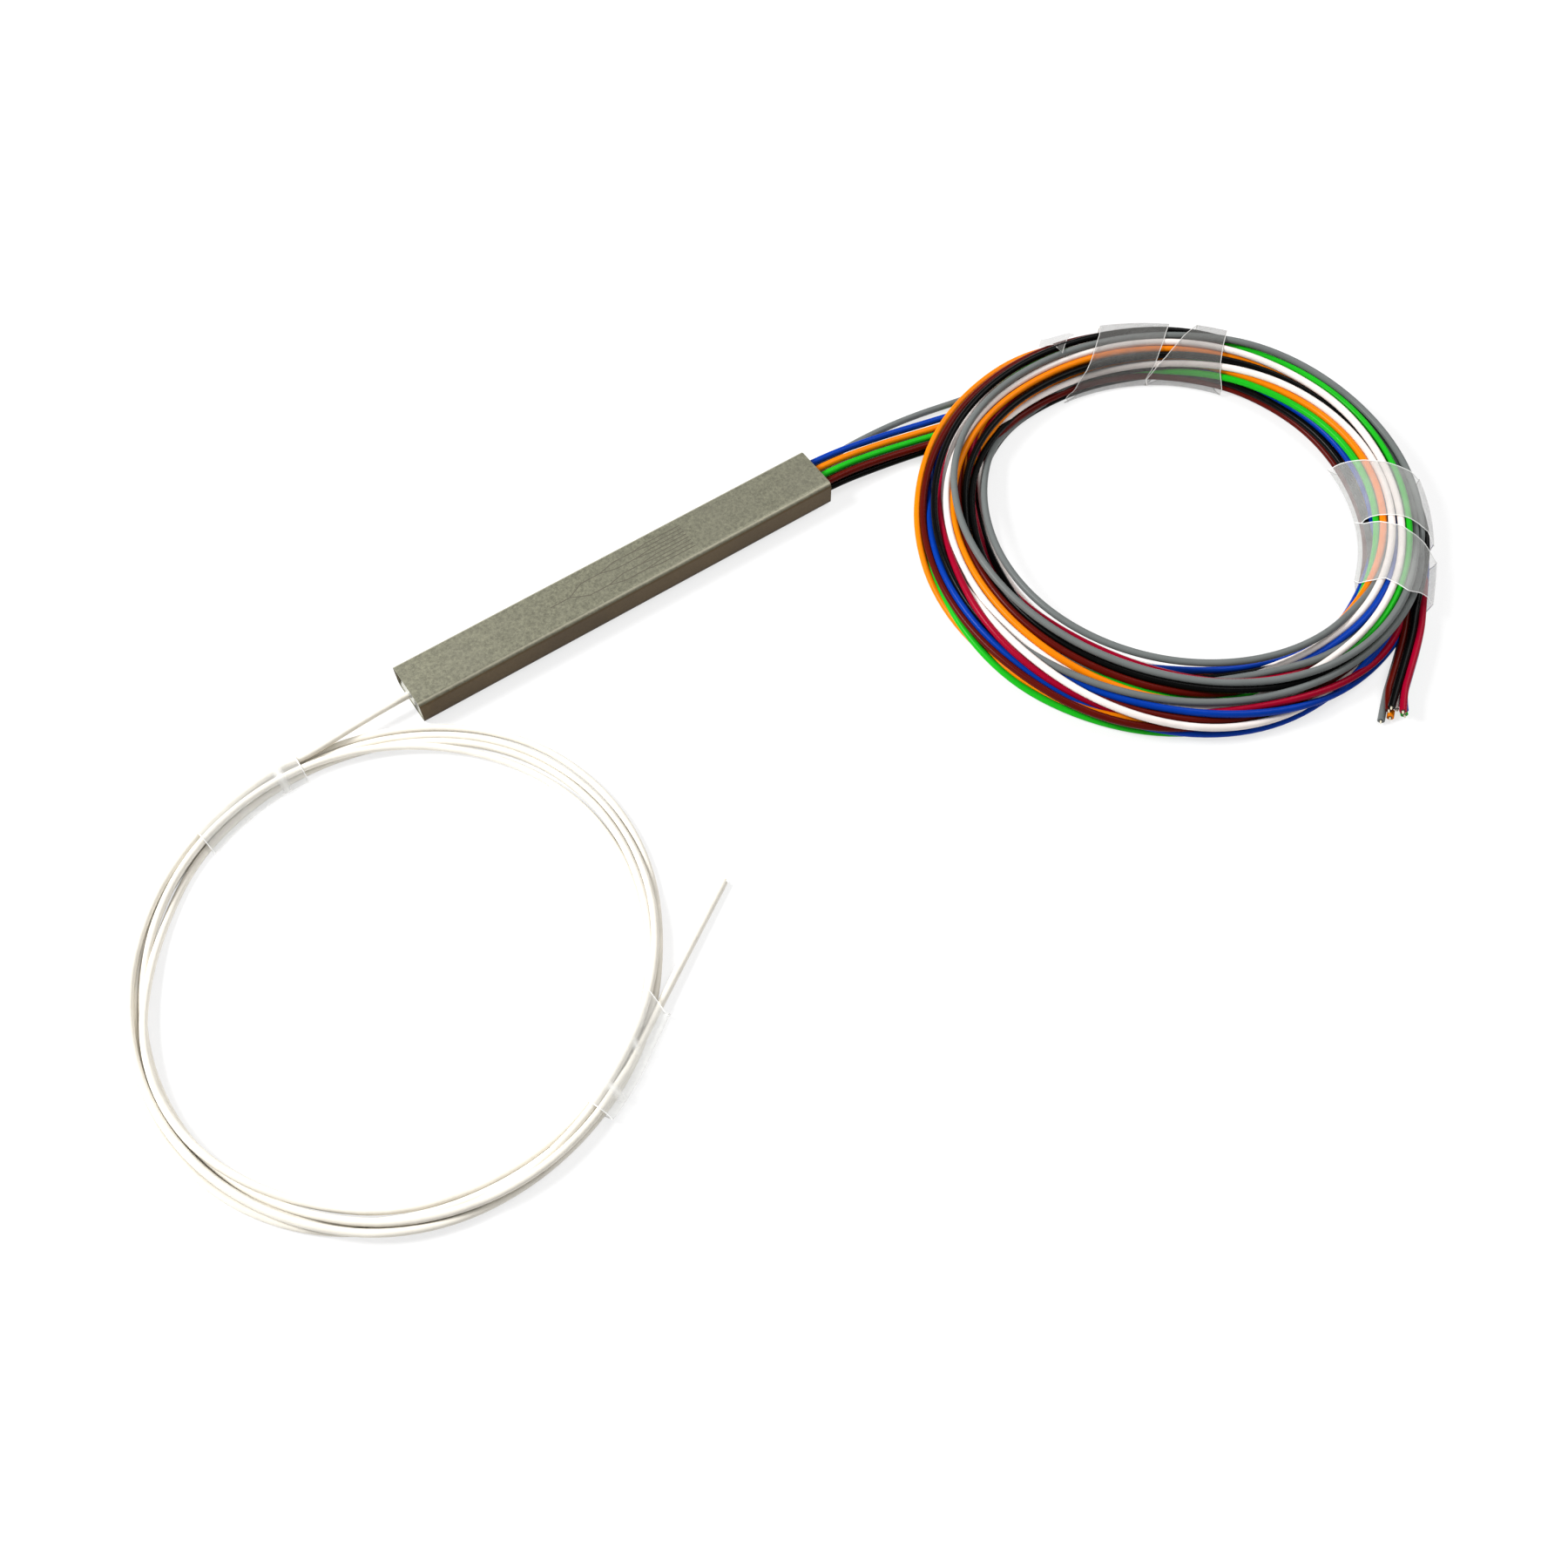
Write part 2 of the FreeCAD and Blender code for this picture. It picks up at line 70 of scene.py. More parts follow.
# The free stretch of each output tube, from inside the seal to the coil
LEADS = {
    "grey": [(26.9, 1.95, 1.4), (31.6, 1.95, 1.4), (38.8, 2.55, 1.15), (47.2, 2.3, 0.8), (56.8, 0.5, 0.55)],
    "blue": [(26.9, 1.95, 2.6), (32.6, 1.85, 2.6), (40.4, 0.95, 2.1), (48.0, -0.45, 1.6), (55.4, -1.9, 1.35)],
    "white": [(26.9, 0.65, 1.4), (31.0, 0.7, 1.4), (38.6, 0.75, 1.05), (46.4, -0.75, 0.7), (53.4, -2.3, 0.5)],
    "orange": [(26.9, 0.65, 2.6), (32.2, 0.65, 2.6), (39.4, -0.1, 2.1), (46.6, -1.4, 1.6),
        (53.6, -2.9, 1.35)],
    "red": [(26.9, -0.65, 1.4), (31.0, -0.65, 1.4), (39.0, -0.85, 1.05), (46.0, -2.05, 0.7),
        (52.7, -3.4, 0.5)],
    "green": [(26.9, -0.65, 2.6), (32.4, -0.6, 2.6), (39.2, -1.3, 2.1), (46.0, -2.5, 1.6),
        (52.6, -3.9, 1.35)],
    "black": [(26.9, -1.95, 1.4), (31.6, -1.95, 1.4), (38.2, -2.6, 1.05), (45.0, -3.6, 0.7),
        (51.6, -5.0, 0.5)],
    "brown": [(26.9, -1.95, 2.6), (32.0, -1.8, 2.6), (38.6, -2.4, 2.1), (45.2, -3.5, 1.6),
        (51.6, -4.85, 1.4)],
}
# The tails run stacked along one line. For each tube: how far to its right, its height, and its cut end.
TAIL_LINE = [(79.15, -60.16), (76.1, -62.6), (70.43, -66.08), (68.3, -67.35)]
TAIL_RIGHT = (0.63, -0.77)
TAIL_STACK = {
    "grey": (-0.92, 0.45, (64.7, -68.85)),
    "orange": (0.0, 0.45, (65.95, -69.15)),
    "green": (0.92, 0.45, (67.65, -69.85)),
    "brown": (-0.92, 1.27, (66.0, -68.5)),
    "white": (0.0, 1.27, (66.9, -68.95)),
    "blue": (0.92, 1.27, (67.5, -69.65)),
    "black": (-0.2, 2.1, (65.95, -68.6)),
    "red": (0.72, 2.1, (66.65, -69.8)),
}
TAILS = {
    name: [(x + off * TAIL_RIGHT[0], y + off * TAIL_RIGHT[1], height) for x, y in TAIL_LINE]
    + [end + (height,)]
    for name, (off, height, end) in TAIL_STACK.items()
}
INPUT_LEAD = [(-26.9, 0, 2.0), (-31.6, 0, 2.0), (-37.9, -0.15, 1.75), (-44.2, -0.5, 1.4)]
INPUT_TAIL = [(-33.0, -54.7, 1.1), (-22.3, -47.9, 0.6), (-12.2, -41.8, 0.45)]

# The radius at which each lead starts to run round, and its height there
ENTRY = {
    "grey": (31.0, 0.5), "blue": (28.5, 1.35), "white": (27.6, 0.5), "orange": (26.9, 1.35),
    "red": (26.5, 0.5), "green": (26.1, 1.35), "black": (25.4, 0.5), "brown": (25.4, 1.4),
}

EYE = (-49.6, -107.8, 154.65)  # the camera's place, in millimetres
LANE_HEIGHT = 3.6  # lane radii are where the sight line from the eye meets this height
SQUEEZE = 0.84  # how close hidden tubes press together, as a share of their diameter

# The lanes that tubes keep to: (turn, layers above or below the crown, [(angle, radius), ...]).
# A tube with no lane at an angle finds its own place there, below the others.
LANES = {
    "grey": [
        (0, 0.2, [(312, 30.9), (320, 31.1), (330, 31.5), (337, 31.9), (345, 32.0), (360, 32.2),
            (370, 32.3), (380, 32.1), (390, 31.7), (400, 31.1), (410, 30.5), (425, 29.7), (430, 29.1)]),
        (0, 1.0, [(431, 29.05), (440, 28.9), (450, 29.0), (460, 29.2), (475, 29.5), (480, 29.45),
            (490, 29.2), (500, 28.6), (510, 27.85), (520, 27.0), (530, 26.5), (540, 26.2), (550, 26.0),
            (560, 25.8), (570, 25.9), (580, 26.25), (590, 26.8), (600, 27.5), (610, 28.4), (620, 29.25),
            (630, 30.0), (640, 30.3), (660, 30.4)]),
        (2, 0, [(190, 30.8), (200, 30.9), (210, 30.7), (220, 30.35), (230, 30.15), (240, 30.05),
            (250, 30.1), (260, 30.3), (270, 30.7), (285, 31.0), (300, 31.1)]),
        (2, -2.0, [(318, 30.6), (345, 31.0)]),
        (3, -0.3, [(235, 26.5), (240, 26.7), (250, 27.1), (260, 27.7), (270, 28.2), (276, 28.3)]),
        (4, 2.5, [(120, 24.1), (140, 24.05), (160, 24.3), (180, 24.15), (200, 24.1), (220, 24.15),
            (230, 24.4), (240, 24.6), (250, 25.0), (260, 25.4), (270, 25.8), (285, 26.2)]),
    ],
    "green": [
        (1, 0, [(272, 29.6), (300, 29.45), (319, 29.4), (330, 29.9), (340, 30.35), (350, 30.6),
            (360, 30.95), (370, 31.15), (380, 31.0), (393, 30.7), (400, 30.6)]),
        (1, -1.2, [(436, 31.6), (450, 31.75), (460, 31.9), (470, 32.15), (478, 32.35), (495, 32.9),
            (512, 33.4)]),
        (2, -0.4, [(165, 33.8), (180, 34.25), (190, 34.4), (200, 34.8), (210, 35.15), (225, 35.4)]),
        (3, 0.3, [(290, 25.3), (310, 25.6), (320, 25.65), (330, 25.9), (340, 26.25), (350, 26.0),
            (360, 25.5), (370, 25.2), (380, 24.9), (390, 24.5), (402, 24.1)]),
        (3, -3.0, [(60, 29.0), (150, 29.0)]),
        (4, 0, [(208, 28.9), (215, 29.2), (220, 29.5), (226, 29.6)]),
    ],
    "white": [
        (1, 0, [(262, 29.1), (270, 29.0), (280, 28.6), (300, 28.35), (320, 28.6), (330, 28.9),
            (340, 29.1), (350, 29.5), (360, 29.75), (380, 29.75), (395, 29.5), (407, 29.2), (415, 28.9),
            (425, 28.4), (432, 28.1), (440, 27.95), (450, 27.8), (460, 28.1), (470, 28.6), (480, 28.85),
            (490, 29.2), (500, 29.35), (520, 29.4), (540, 29.65), (550, 29.85), (565, 30.2)]),
        (3, 0, [(242, 26.4), (255, 26.3), (270, 26.6), (280, 26.9), (300, 27.4), (320, 27.75),
            (330, 28.1), (340, 28.4), (350, 28.3), (360, 28.0), (370, 27.75), (380, 27.25), (390, 26.6),
            (400, 25.75), (410, 25.1), (420, 24.6), (430, 24.4), (440, 24.3), (450, 24.5), (460, 24.95),
            (470, 25.3), (476, 25.5)]),
        (3, 0.3, [(136, 25.85), (160, 26.0)]),
        (4, 1.2, [(172, 30.4), (180, 30.6), (190, 31.2), (200, 31.7), (210, 32.5), (220, 33.25),
            (230, 33.95), (240, 34.2), (250, 33.9), (260, 33.4), (265, 33.1)]),
        (5, -0.2, [(130, 24.75), (150, 24.8)]),
        (5, 0.3, [(160, 25.0), (170, 25.3), (180, 25.4), (190, 25.1), (210, 24.95), (220, 25.1),
            (235, 25.1), (245, 25.4), (250, 25.6)]),
    ],
    "black": [
        (1, 0, [(345, 28.8), (360, 28.85), (370, 28.8), (380, 28.4), (390, 27.8)]),
        (1, 0.5, [(391, 27.75), (400, 27.2), (410, 26.6), (425, 25.9), (440, 25.45), (450, 25.5),
            (460, 25.8), (470, 26.2), (480, 26.5), (495, 26.9), (515, 27.1)]),
        (1, -1.0, [(60, 22.3), (80, 22.4), (90, 22.9), (100, 23.8), (110, 24.3), (120, 24.7),
            (135, 25.0), (150, 25.2), (165, 25.5)]),
        (3, 0, [(308, 24.7), (325, 24.7), (342, 23.95), (360, 23.95), (370, 23.5), (380, 23.4),
            (392, 23.6)]),
        (2, 0.6, [(403, 31.5), (410, 31.25), (420, 30.9), (430, 30.6), (440, 30.5), (450, 30.3),
            (470, 30.5), (490, 30.6), (500, 30.7), (510, 30.9), (520, 31.0), (530, 31.5), (540, 31.9)]),
        (4, 0.3, [(122, 26.1), (140, 26.3), (160, 26.7), (180, 27.0), (190, 26.9), (200, 26.85),
            (210, 27.0), (220, 27.45), (230, 27.95), (240, 28.55), (250, 29.2), (256, 29.4)]),
        (4, -2.0, [(268, 29.9), (290, 30.2)]),
        (0, 0, [(303, 32.0), (318, 31.8), (330, 31.7)]),
    ],
    "orange": [
        (1, 0.9, [(68, 31.2), (80, 31.4), (90, 31.5), (100, 31.6), (110, 31.8), (120, 32.0),
            (130, 32.35), (140, 32.6), (150, 33.0), (160, 33.6), (170, 34.25), (180, 34.8), (190, 35.2),
            (200, 35.5), (210, 35.8), (216, 35.8)]),
        (2, 0, [(22, 28.95), (33, 28.6), (40, 28.3), (50, 27.9), (65, 27.2), (80, 26.85), (90, 26.65),
            (100, 27.0), (110, 27.4), (120, 27.9), (130, 28.15), (140, 28.4), (150, 28.4), (160, 28.25),
            (170, 28.3), (180, 28.4), (190, 28.75), (200, 29.3), (210, 29.6), (218, 29.6)]),
        (3, 0, [(275, 25.6), (285, 26.0), (295, 26.15), (300, 26.35), (320, 26.55), (330, 26.9),
            (340, 27.2), (350, 27.15), (360, 26.9), (370, 26.4), (380, 26.05), (388, 25.7)]),
        (3, -2.4, [(400, 26.0), (470, 26.3)]),
        (3, -2.4, [(230, 27.0), (262, 26.0)]),
    ],
    "blue": [
        (1, -3.0, [(95, 30.3), (136, 30.9)]),
        (1, 0, [(142, 31.5), (150, 31.75), (160, 32.0), (170, 32.4), (180, 32.55), (190, 32.95),
            (197, 33.2)]),
        (1, -1.0, [(205, 33.6), (216, 34.6)]),
        (1, 0, [(221, 35.3), (230, 35.2), (240, 35.0), (250, 34.5), (260, 33.7)]),
        (1, -1.2, [(268, 32.2), (286, 31.6)]),
        (2, 0, [(205, 31.5), (220, 31.4), (230, 31.4), (240, 31.6), (250, 32.1), (260, 32.6),
            (270, 32.6), (280, 32.4)]),
        (3, -1.2, [(296, 24.4), (319, 24.7)]),
        (3, 0, [(320, 24.8), (343, 24.85), (360, 24.5), (368, 24.2)]),
        (3, -3.0, [(376, 24.3), (400, 24.4)]),
        (2, -3.0, [(0, 28.6), (60, 28.4)]),
        (4, -2.8, [(120, 27.6), (180, 27.7)]),
        (5, -3.0, [(0, 29.4), (60, 29.2)]),
        (4, 0, [(222, 25.6), (230, 25.7), (240, 25.75), (258, 26.0)]),
        (5, 0, [(257, 27.3), (265, 27.6), (280, 27.85), (290, 27.85), (302, 27.85)]),
        (5, -1.2, [(312, 27.9), (330, 28.0)]),
    ],
    "brown": [
        (1, -0.4, [(45, 30.6), (55, 30.75), (68, 30.9), (90, 31.0), (110, 31.15), (120, 31.3),
            (140, 31.9), (150, 32.3), (160, 32.8), (170, 33.1), (180, 33.4), (190, 33.7), (200, 33.95),
            (210, 34.3), (220, 34.7), (230, 34.7)]),
        (2, 0, [(210, 32.1), (220, 32.35), (230, 32.75), (240, 33.2), (258, 33.2)]),
        (3, 0, [(150, 27.5), (170, 27.5), (180, 27.45), (190, 27.65), (200, 27.85), (210, 28.1),
            (220, 28.5), (230, 28.95), (240, 29.3)]),
        (3, -1.5, [(300, 24.0), (340, 22.9)]),
        (3, -0.2, [(342, 22.9), (360, 22.8), (370, 22.6), (380, 22.8), (390, 23.1), (420, 23.0),
            (445, 23.3), (450, 23.8), (460, 24.3), (470, 24.9), (480, 25.1), (490, 25.3)]),
    ],
    "red": [
        (1, -3.2, [(92, 30.0), (144, 30.0)]),
        (1, 0, [(150, 30.05), (160, 30.3), (170, 30.75), (180, 31.45), (190, 32.2), (200, 32.85),
            (210, 33.4), (216, 33.7)]),
        (2, 0, [(232, 30.6), (240, 30.85), (250, 31.15), (260, 31.5), (270, 31.7), (280, 31.75),
            (290, 31.6), (298, 31.4)]),
        (3, -0.3, [(185, 25.3), (200, 25.2), (215, 25.4), (240, 27.0), (250, 27.7), (260, 28.6),
            (266, 28.9)]),
        (4, -3.0, [(0, 27.2), (60, 27.2)]),
        (5, -3.0, [(0, 28.6), (60, 28.4)]),
    ],
}
# The bundle's section round the coil: angle, inner radius, outer radius, height of the topmost centres
OUT_SECTION = [
    (0, 24.4, 33.8, 4.2), (20, 24.8, 33.6, 4.5), (45, 24.8, 33.2, 4.7), (70, 24.4, 33.1, 4.7),
    (90, 24.4, 33.1, 4.6),
    (110, 24.9, 33.1, 4.1), (130, 24.1, 33.3, 3.6), (150, 23.5, 33.5, 3.4), (180, 23.4, 33.9, 3.1),
    (200, 23.2, 34.3, 3.1),
    (215, 23.1, 34.2, 3.1), (235, 23.4, 33.6, 3.3), (250, 23.9, 33.0, 3.7), (270, 24.8, 32.5, 4.3),
    (290, 24.9, 32.5, 4.5),
    (310, 24.9, 32.9, 4.5), (330, 24.7, 33.4, 4.3), (345, 24.5, 33.6, 4.1),
]

# How wound tubes settle: shares are of the way there in one round, lengths are in millimetres
LANE_PULL = 0.2  # share towards the lane and its height
LAYER = 0.75  # height of one layer
SINK = 0.02  # how far a tube with no lane sinks in a round
SINK_FADE = 0.7  # how much less it sinks by the end
COVER = 0.85  # how far below the crown a tube with no lane lies at least
COVER_PULL = 0.4  # share down to there
EASE, LATE_EASE, LATE = 0.3, 0.2, 0.8  # share towards a straight run, at first and after most of the rounds
PUSH = 1.4  # how strongly tubes push each other off
ROOF = 5.4  # no centre lies above this
LANE_GIVE = 0.4  # how far a tube in a lane gives way, where 1 is freely and 0 not at all
IN_SIGHT = 0.4  # above this share of its two control points in lanes, a stretch counts as seen
ONE_SEEN = 0.6  # share of the squeeze that is undone where one of two tubes is seen
BOTH_SEEN = 0.4  # and how much more is where both are

# How the output tubes start, before they settle: angles in degrees, lengths in millimetres
FULL_TURNS = 2160  # they enter the coil six whole turns on
ENTRY_GAP = 6  # from a lead's last point to the first wound one, at least
ENTRY_GIVE = 0.3  # how far the first wound points give way
WOUND_END = 299  # the wound part stops just above this angle, where the tails start
TAIL_SEAT = 0.05  # its last point lies this much further out than the tail's first
LEAD_REACH = 36  # a lead is in the coil's way within this radius
LEAD_RISE = 0.02  # and rises this much for each degree past its last point
WAVES = (285, 2400)  # the hidden turns sway between these angles
SWAY, SWAY_EACH = 2.6, 75  # they sway up to this far sideways, changing over this angle
DEEP, DEEP_EACH = (0.05, 0.8), 60  # they lie at these shares of the crown's height, changing over this angle
LONELY = 45  # the sway grows to its full size this far from a lane
START_LAYER = 0.8  # height of one layer at the start


def across(section, angle, column):
    """A value of the section table at an angle, all round."""
    table = section + [(section[0][0] + 360,) + section[0][1:]]
    return np.interp(np.mod(angle, 360), [row[0] for row in table], [row[column] for row in table])


def lean(centre, angle, radius, height):
    """How far a point seems to move outwards for each millimetre that it lies above the lane height."""
    a = np.radians(angle)
    along = radius + (centre[0] - EYE[0]) * np.cos(a) + (centre[1] - EYE[1]) * np.sin(a)
    return along / (EYE[2] - height)


def on_circle(centre, radius, angle, height):
    """A point at a radius and angle round a centre."""
    a = math.radians(angle)
    return np.array([centre[0] + radius * math.cos(a), centre[1] + radius * math.sin(a), height])


def seen_at(centre, radius, angle, height):
    """The point at a height that seems to lie at a radius and angle at the lane height, in millimetres."""
    eye = np.array(EYE)
    flat = on_circle(centre, radius, angle, LANE_HEIGHT)
    return eye + (flat - eye) * (EYE[2] - height) / (EYE[2] - LANE_HEIGHT)


def seems(centre, radius, angle, height):
    """The radius and angle at the lane height that a point seems to lie at."""
    eye = np.array(EYE)
    place = on_circle(centre, radius, angle, height)
    flat = eye + (place - eye) * (EYE[2] - LANE_HEIGHT) / (EYE[2] - height)
    x, y = flat[0] - centre[0], flat[1] - centre[1]
    return math.hypot(x, y), math.degrees(math.atan2(y, x)) % 360


def crown(section, angle, radius):
    """How high a tube's centre can lie at a radius of the bundle's section."""
    low = across(section, angle, 1) + TUBE / 2
    high = across(section, angle, 2) - TUBE / 2
    x = np.clip(np.abs((radius - (low + high) / 2) / ((high - low) / 2)), 0, 1)
    return TUBE / 2 + (across(section, angle, 3) - TUBE / 2) * np.sqrt(1 - x ** 3)


def neighbours(cords, count):
    """The index of the control point before and after each one, which is itself at a cord's end."""
    before, after, base = np.arange(count), np.arange(count), 0
    for c in cords:
        n = len(c["angle"])
        before[base + 1:base + n] = np.arange(base, base + n - 1)
        after[base:base + n - 1] = np.arange(base + 1, base + n)
        base += n
    return before, after


def crossings(angle, after, fixed):
    """The tubes that cross each ray, at the control points and halfway between them.

    Gives three tables with a row for each ray: the two control points whose middle lies on it, and the places
    (radius, height) of fixed tubes. An empty slot holds the number of control points, or no number.
    """
    count, turn = len(angle), int(round(360 / STEP))
    slot = np.round(angle / STEP).astype(int) % turn
    side = np.sign(angle[after] - angle).astype(int)
    groups = []
    for s in range(turn):
        here = np.where(slot == s)[0]
        groups.append((here, here, fixed.get(s * STEP, [])))
        half = np.where((after != np.arange(count)) & (((slot + (side < 0) * -1) % turn) == s))[0]
        groups.append((half, after[half], fixed.get(s * STEP + STEP / 2, [])))
    width = max(len(a) + len(f) for a, b, f in groups)
    first = np.full((len(groups), width), count)
    second = first.copy()
    places = np.full((len(groups), width, 2), np.nan)
    for g, (a, b, f) in enumerate(groups):
        first[g, :len(a)], second[g, :len(a)] = a, b
        for k, place in enumerate(f):
            places[g, len(a) + k] = place
    return first, second, places


def settle(cords, section, fixed, rounds, centre=None):
    """Lets wound tubes settle side by side, and gives each one's angles, radii and heights.

    Each tube keeps to its lane where it has one, sinks elsewhere, bends gently and gives way to its
    neighbours. cords is a list of arrays: angle, radius, height, lane radius, lift and how far it gives way.
    """
    keys = ("angle", "radius", "height", "lane", "lift", "give")
    U, R, Z, lane, lift, give = (np.concatenate([c[k] for c in cords]) for k in keys)
    count = len(U)
    before, after = neighbours(cords, count)
    A, B, F = crossings(U, after, fixed)
    width = A.shape[1]
    held = ~np.isnan(F[..., 0])
    away = np.arange(width) * 50.0 + 1000  # empty slots lie far off and apart
    same = np.eye(width, dtype=bool)[None]
    free, laned = give > 0, ~np.isnan(lane)
    low = across(section, U, 1) + TUBE / 2
    high = across(section, U, 2) - TUBE / 2
    yields = np.append(give, 0.0)
    show = np.append(laned * 1.0, 1.0)
    seen = np.where(held, 1.0, (show[A] + show[B]) / 2) > IN_SIGHT
    either = np.maximum(seen[:, :, None], seen[:, None, :])
    both = np.minimum(seen[:, :, None], seen[:, None, :])
    reach = TUBE * (SQUEEZE + (1 - SQUEEZE) * either * ONE_SEEN + (1 - SQUEEZE) * both * BOTH_SEEN)
    for step in range(rounds):
        late = step / rounds
        top = crown(section, U, R)
        on = laned & free
        shift = lean(centre, U, R, Z) if centre else 0
        R = np.where(on, R + LANE_PULL * (lane + (LANE_HEIGHT - Z) * shift - R), R)
        Z = np.where(on, Z + LANE_PULL * (top + LAYER * lift - Z), Z)
        off = free & ~laned
        Z = np.where(off, Z - SINK * (1 - SINK_FADE * late), Z)
        Z = np.where(off & (Z > top - COVER), Z - COVER_PULL * (Z - top + COVER), Z)
        ease = EASE if late < LATE else LATE_EASE
        R = np.where(free, R + ease * ((R[before] + R[after]) / 2 - R), R)
        Z = np.where(free, Z + ease * ((Z[before] + Z[after]) / 2 - Z), Z)
        for again in range(2):
            RX, ZX = np.append(R, 0.0), np.append(Z, 0.0)
            pr = np.where(A == count, away[None], (RX[A] + RX[B]) / 2)
            pr = np.where(held, F[..., 0], pr)
            pz = np.where(held, F[..., 1], (ZX[A] + ZX[B]) / 2)
            w = np.where(held, 0, (yields[A] + yields[B]) / 2)
            dr, dz = pr[:, :, None] - pr[:, None, :], pz[:, :, None] - pz[:, None, :]
            gap = np.sqrt(dr * dr + dz * dz) + 1e-9
            need = np.where(same, 0, np.maximum(0, reach - gap))
            share = need * w[:, :, None] / (w[:, :, None] + w[:, None, :] + 1e-9) / gap
            many = np.maximum(1, (need > 0).sum(2))
            mr, mz = (share * dr).sum(2) / np.sqrt(many), (share * dz).sum(2) / np.sqrt(many)
            sr, sz, sn = np.zeros(count + 1), np.zeros(count + 1), np.zeros(count + 1)
            for index in (A, B):
                np.add.at(sr, index, mr)
                np.add.at(sz, index, mz)
                np.add.at(sn, index, (np.abs(mr) + np.abs(mz) > 0) * 1.0)
            sn = np.maximum(1, sn)
            R = np.where(free, np.clip(R + PUSH * (sr / sn)[:count], low, high), R)
            Z = np.where(free, np.clip(Z + PUSH * (sz / sn)[:count], TUBE / 2, ROOF), Z)
    ends = np.cumsum([len(c["angle"]) for c in cords])[:-1]
    return list(zip(np.split(U, ends), np.split(R, ends), np.split(Z, ends)))


def lanes_of(name, angle):
    """A tube's lane radius, lift and give at its angles. The lane is no number where the tube has none."""
    lane, lift, give = np.full(len(angle), np.nan), np.zeros(len(angle)), np.ones(len(angle))
    for turn, above, points in LANES[name]:
        at = np.array([p[0] for p in points]) + 360.0 * turn
        inside = (angle >= at[0]) & (angle <= at[-1])
        lane[inside] = np.interp(angle[inside], at, [p[1] for p in points])
        lift[inside], give[inside] = above, LANE_GIVE
    return lane, lift, give


def output_turns(seed, rounds):
    """The wound part of the eight output tubes: angle, radius and height of each control point."""
    rng = np.random.default_rng(seed)
    cx, cy = OUT_CENTRE
    cords, fixed = [], {}
    for name in COLOURS:
        x, y, z = LEADS[name][-1]
        reach, end = math.hypot(x - cx, y - cy), math.degrees(math.atan2(y - cy, x - cx))
        round_at, low_at = ENTRY[name]
        meet = end - math.degrees(math.acos(min(1, round_at / reach)))
        for a in np.arange(82.5, 150, STEP / 2):
            beside = round_at / math.cos(math.radians(a - meet))
            if meet < a and beside < LEAD_REACH:
                fixed.setdefault(a, []).append((beside, z + max(0, a - end) * LEAD_RISE))
        angle = np.arange(FULL_TURNS + STEP * math.floor((end - ENTRY_GAP) / STEP), WOUND_END, -STEP)
        lane, lift, give = lanes_of(name, angle)
        radius, height = lane.copy(), np.full(len(angle), np.nan)
        for k in range(3):
            from_meet = angle[k] - FULL_TURNS - meet
            radius[k] = round_at / math.cos(math.radians(max(0, from_meet)))
            height[k], lane[k] = low_at, np.nan
            give[k] = 0 if from_meet > 0 or k == 0 else ENTRY_GIVE
        tx, ty, tz = TAILS[name][0]
        radius[-1], height[-1] = math.hypot(tx - cx, ty - cy) + TAIL_SEAT, tz
        give[-1], lane[-1] = 0, np.nan
        known = ~np.isnan(radius)
        sway_at, deep_at = np.arange(*WAVES, SWAY_EACH), np.arange(*WAVES, DEEP_EACH)
        sway = np.interp(angle, sway_at, rng.uniform(-SWAY, SWAY, len(sway_at)))
        deep = np.interp(angle, deep_at, rng.uniform(*DEEP, len(deep_at)))
        lonely = np.clip(np.abs(angle[:, None] - angle[known][None]).min(1) / LONELY, 0, 1)
        start = np.interp(angle[::-1], angle[known][::-1], radius[known][::-1])[::-1] + sway * lonely
        inner, outer = across(OUT_SECTION, angle, 1) + TUBE / 2, across(OUT_SECTION, angle, 2) - TUBE / 2
        start = np.where(known, start, np.clip(start, inner, outer))
        for again in range(8):
            rest = np.maximum(TUBE / 2, crown(OUT_SECTION, angle, start) + LAYER * lift)
            seat = np.clip(lane + (LANE_HEIGHT - rest) * lean(OUT_CENTRE, angle, start, rest), inner, outer)
            start = np.where(np.isnan(lane), start, seat)
        top = crown(OUT_SECTION, angle, start)
        stack = np.where(np.isnan(lane), TUBE / 2 + deep * (top - TUBE), top + START_LAYER * lift)
        height = np.maximum(TUBE / 2, np.where(np.isnan(height), stack, height))
        cords.append({
            "angle": angle, "radius": start, "height": height, "lane": lane, "lift": lift, "give": give,
        })
    return dict(zip(COLOURS, settle(cords, OUT_SECTION, fixed, rounds, OUT_CENTRE)))


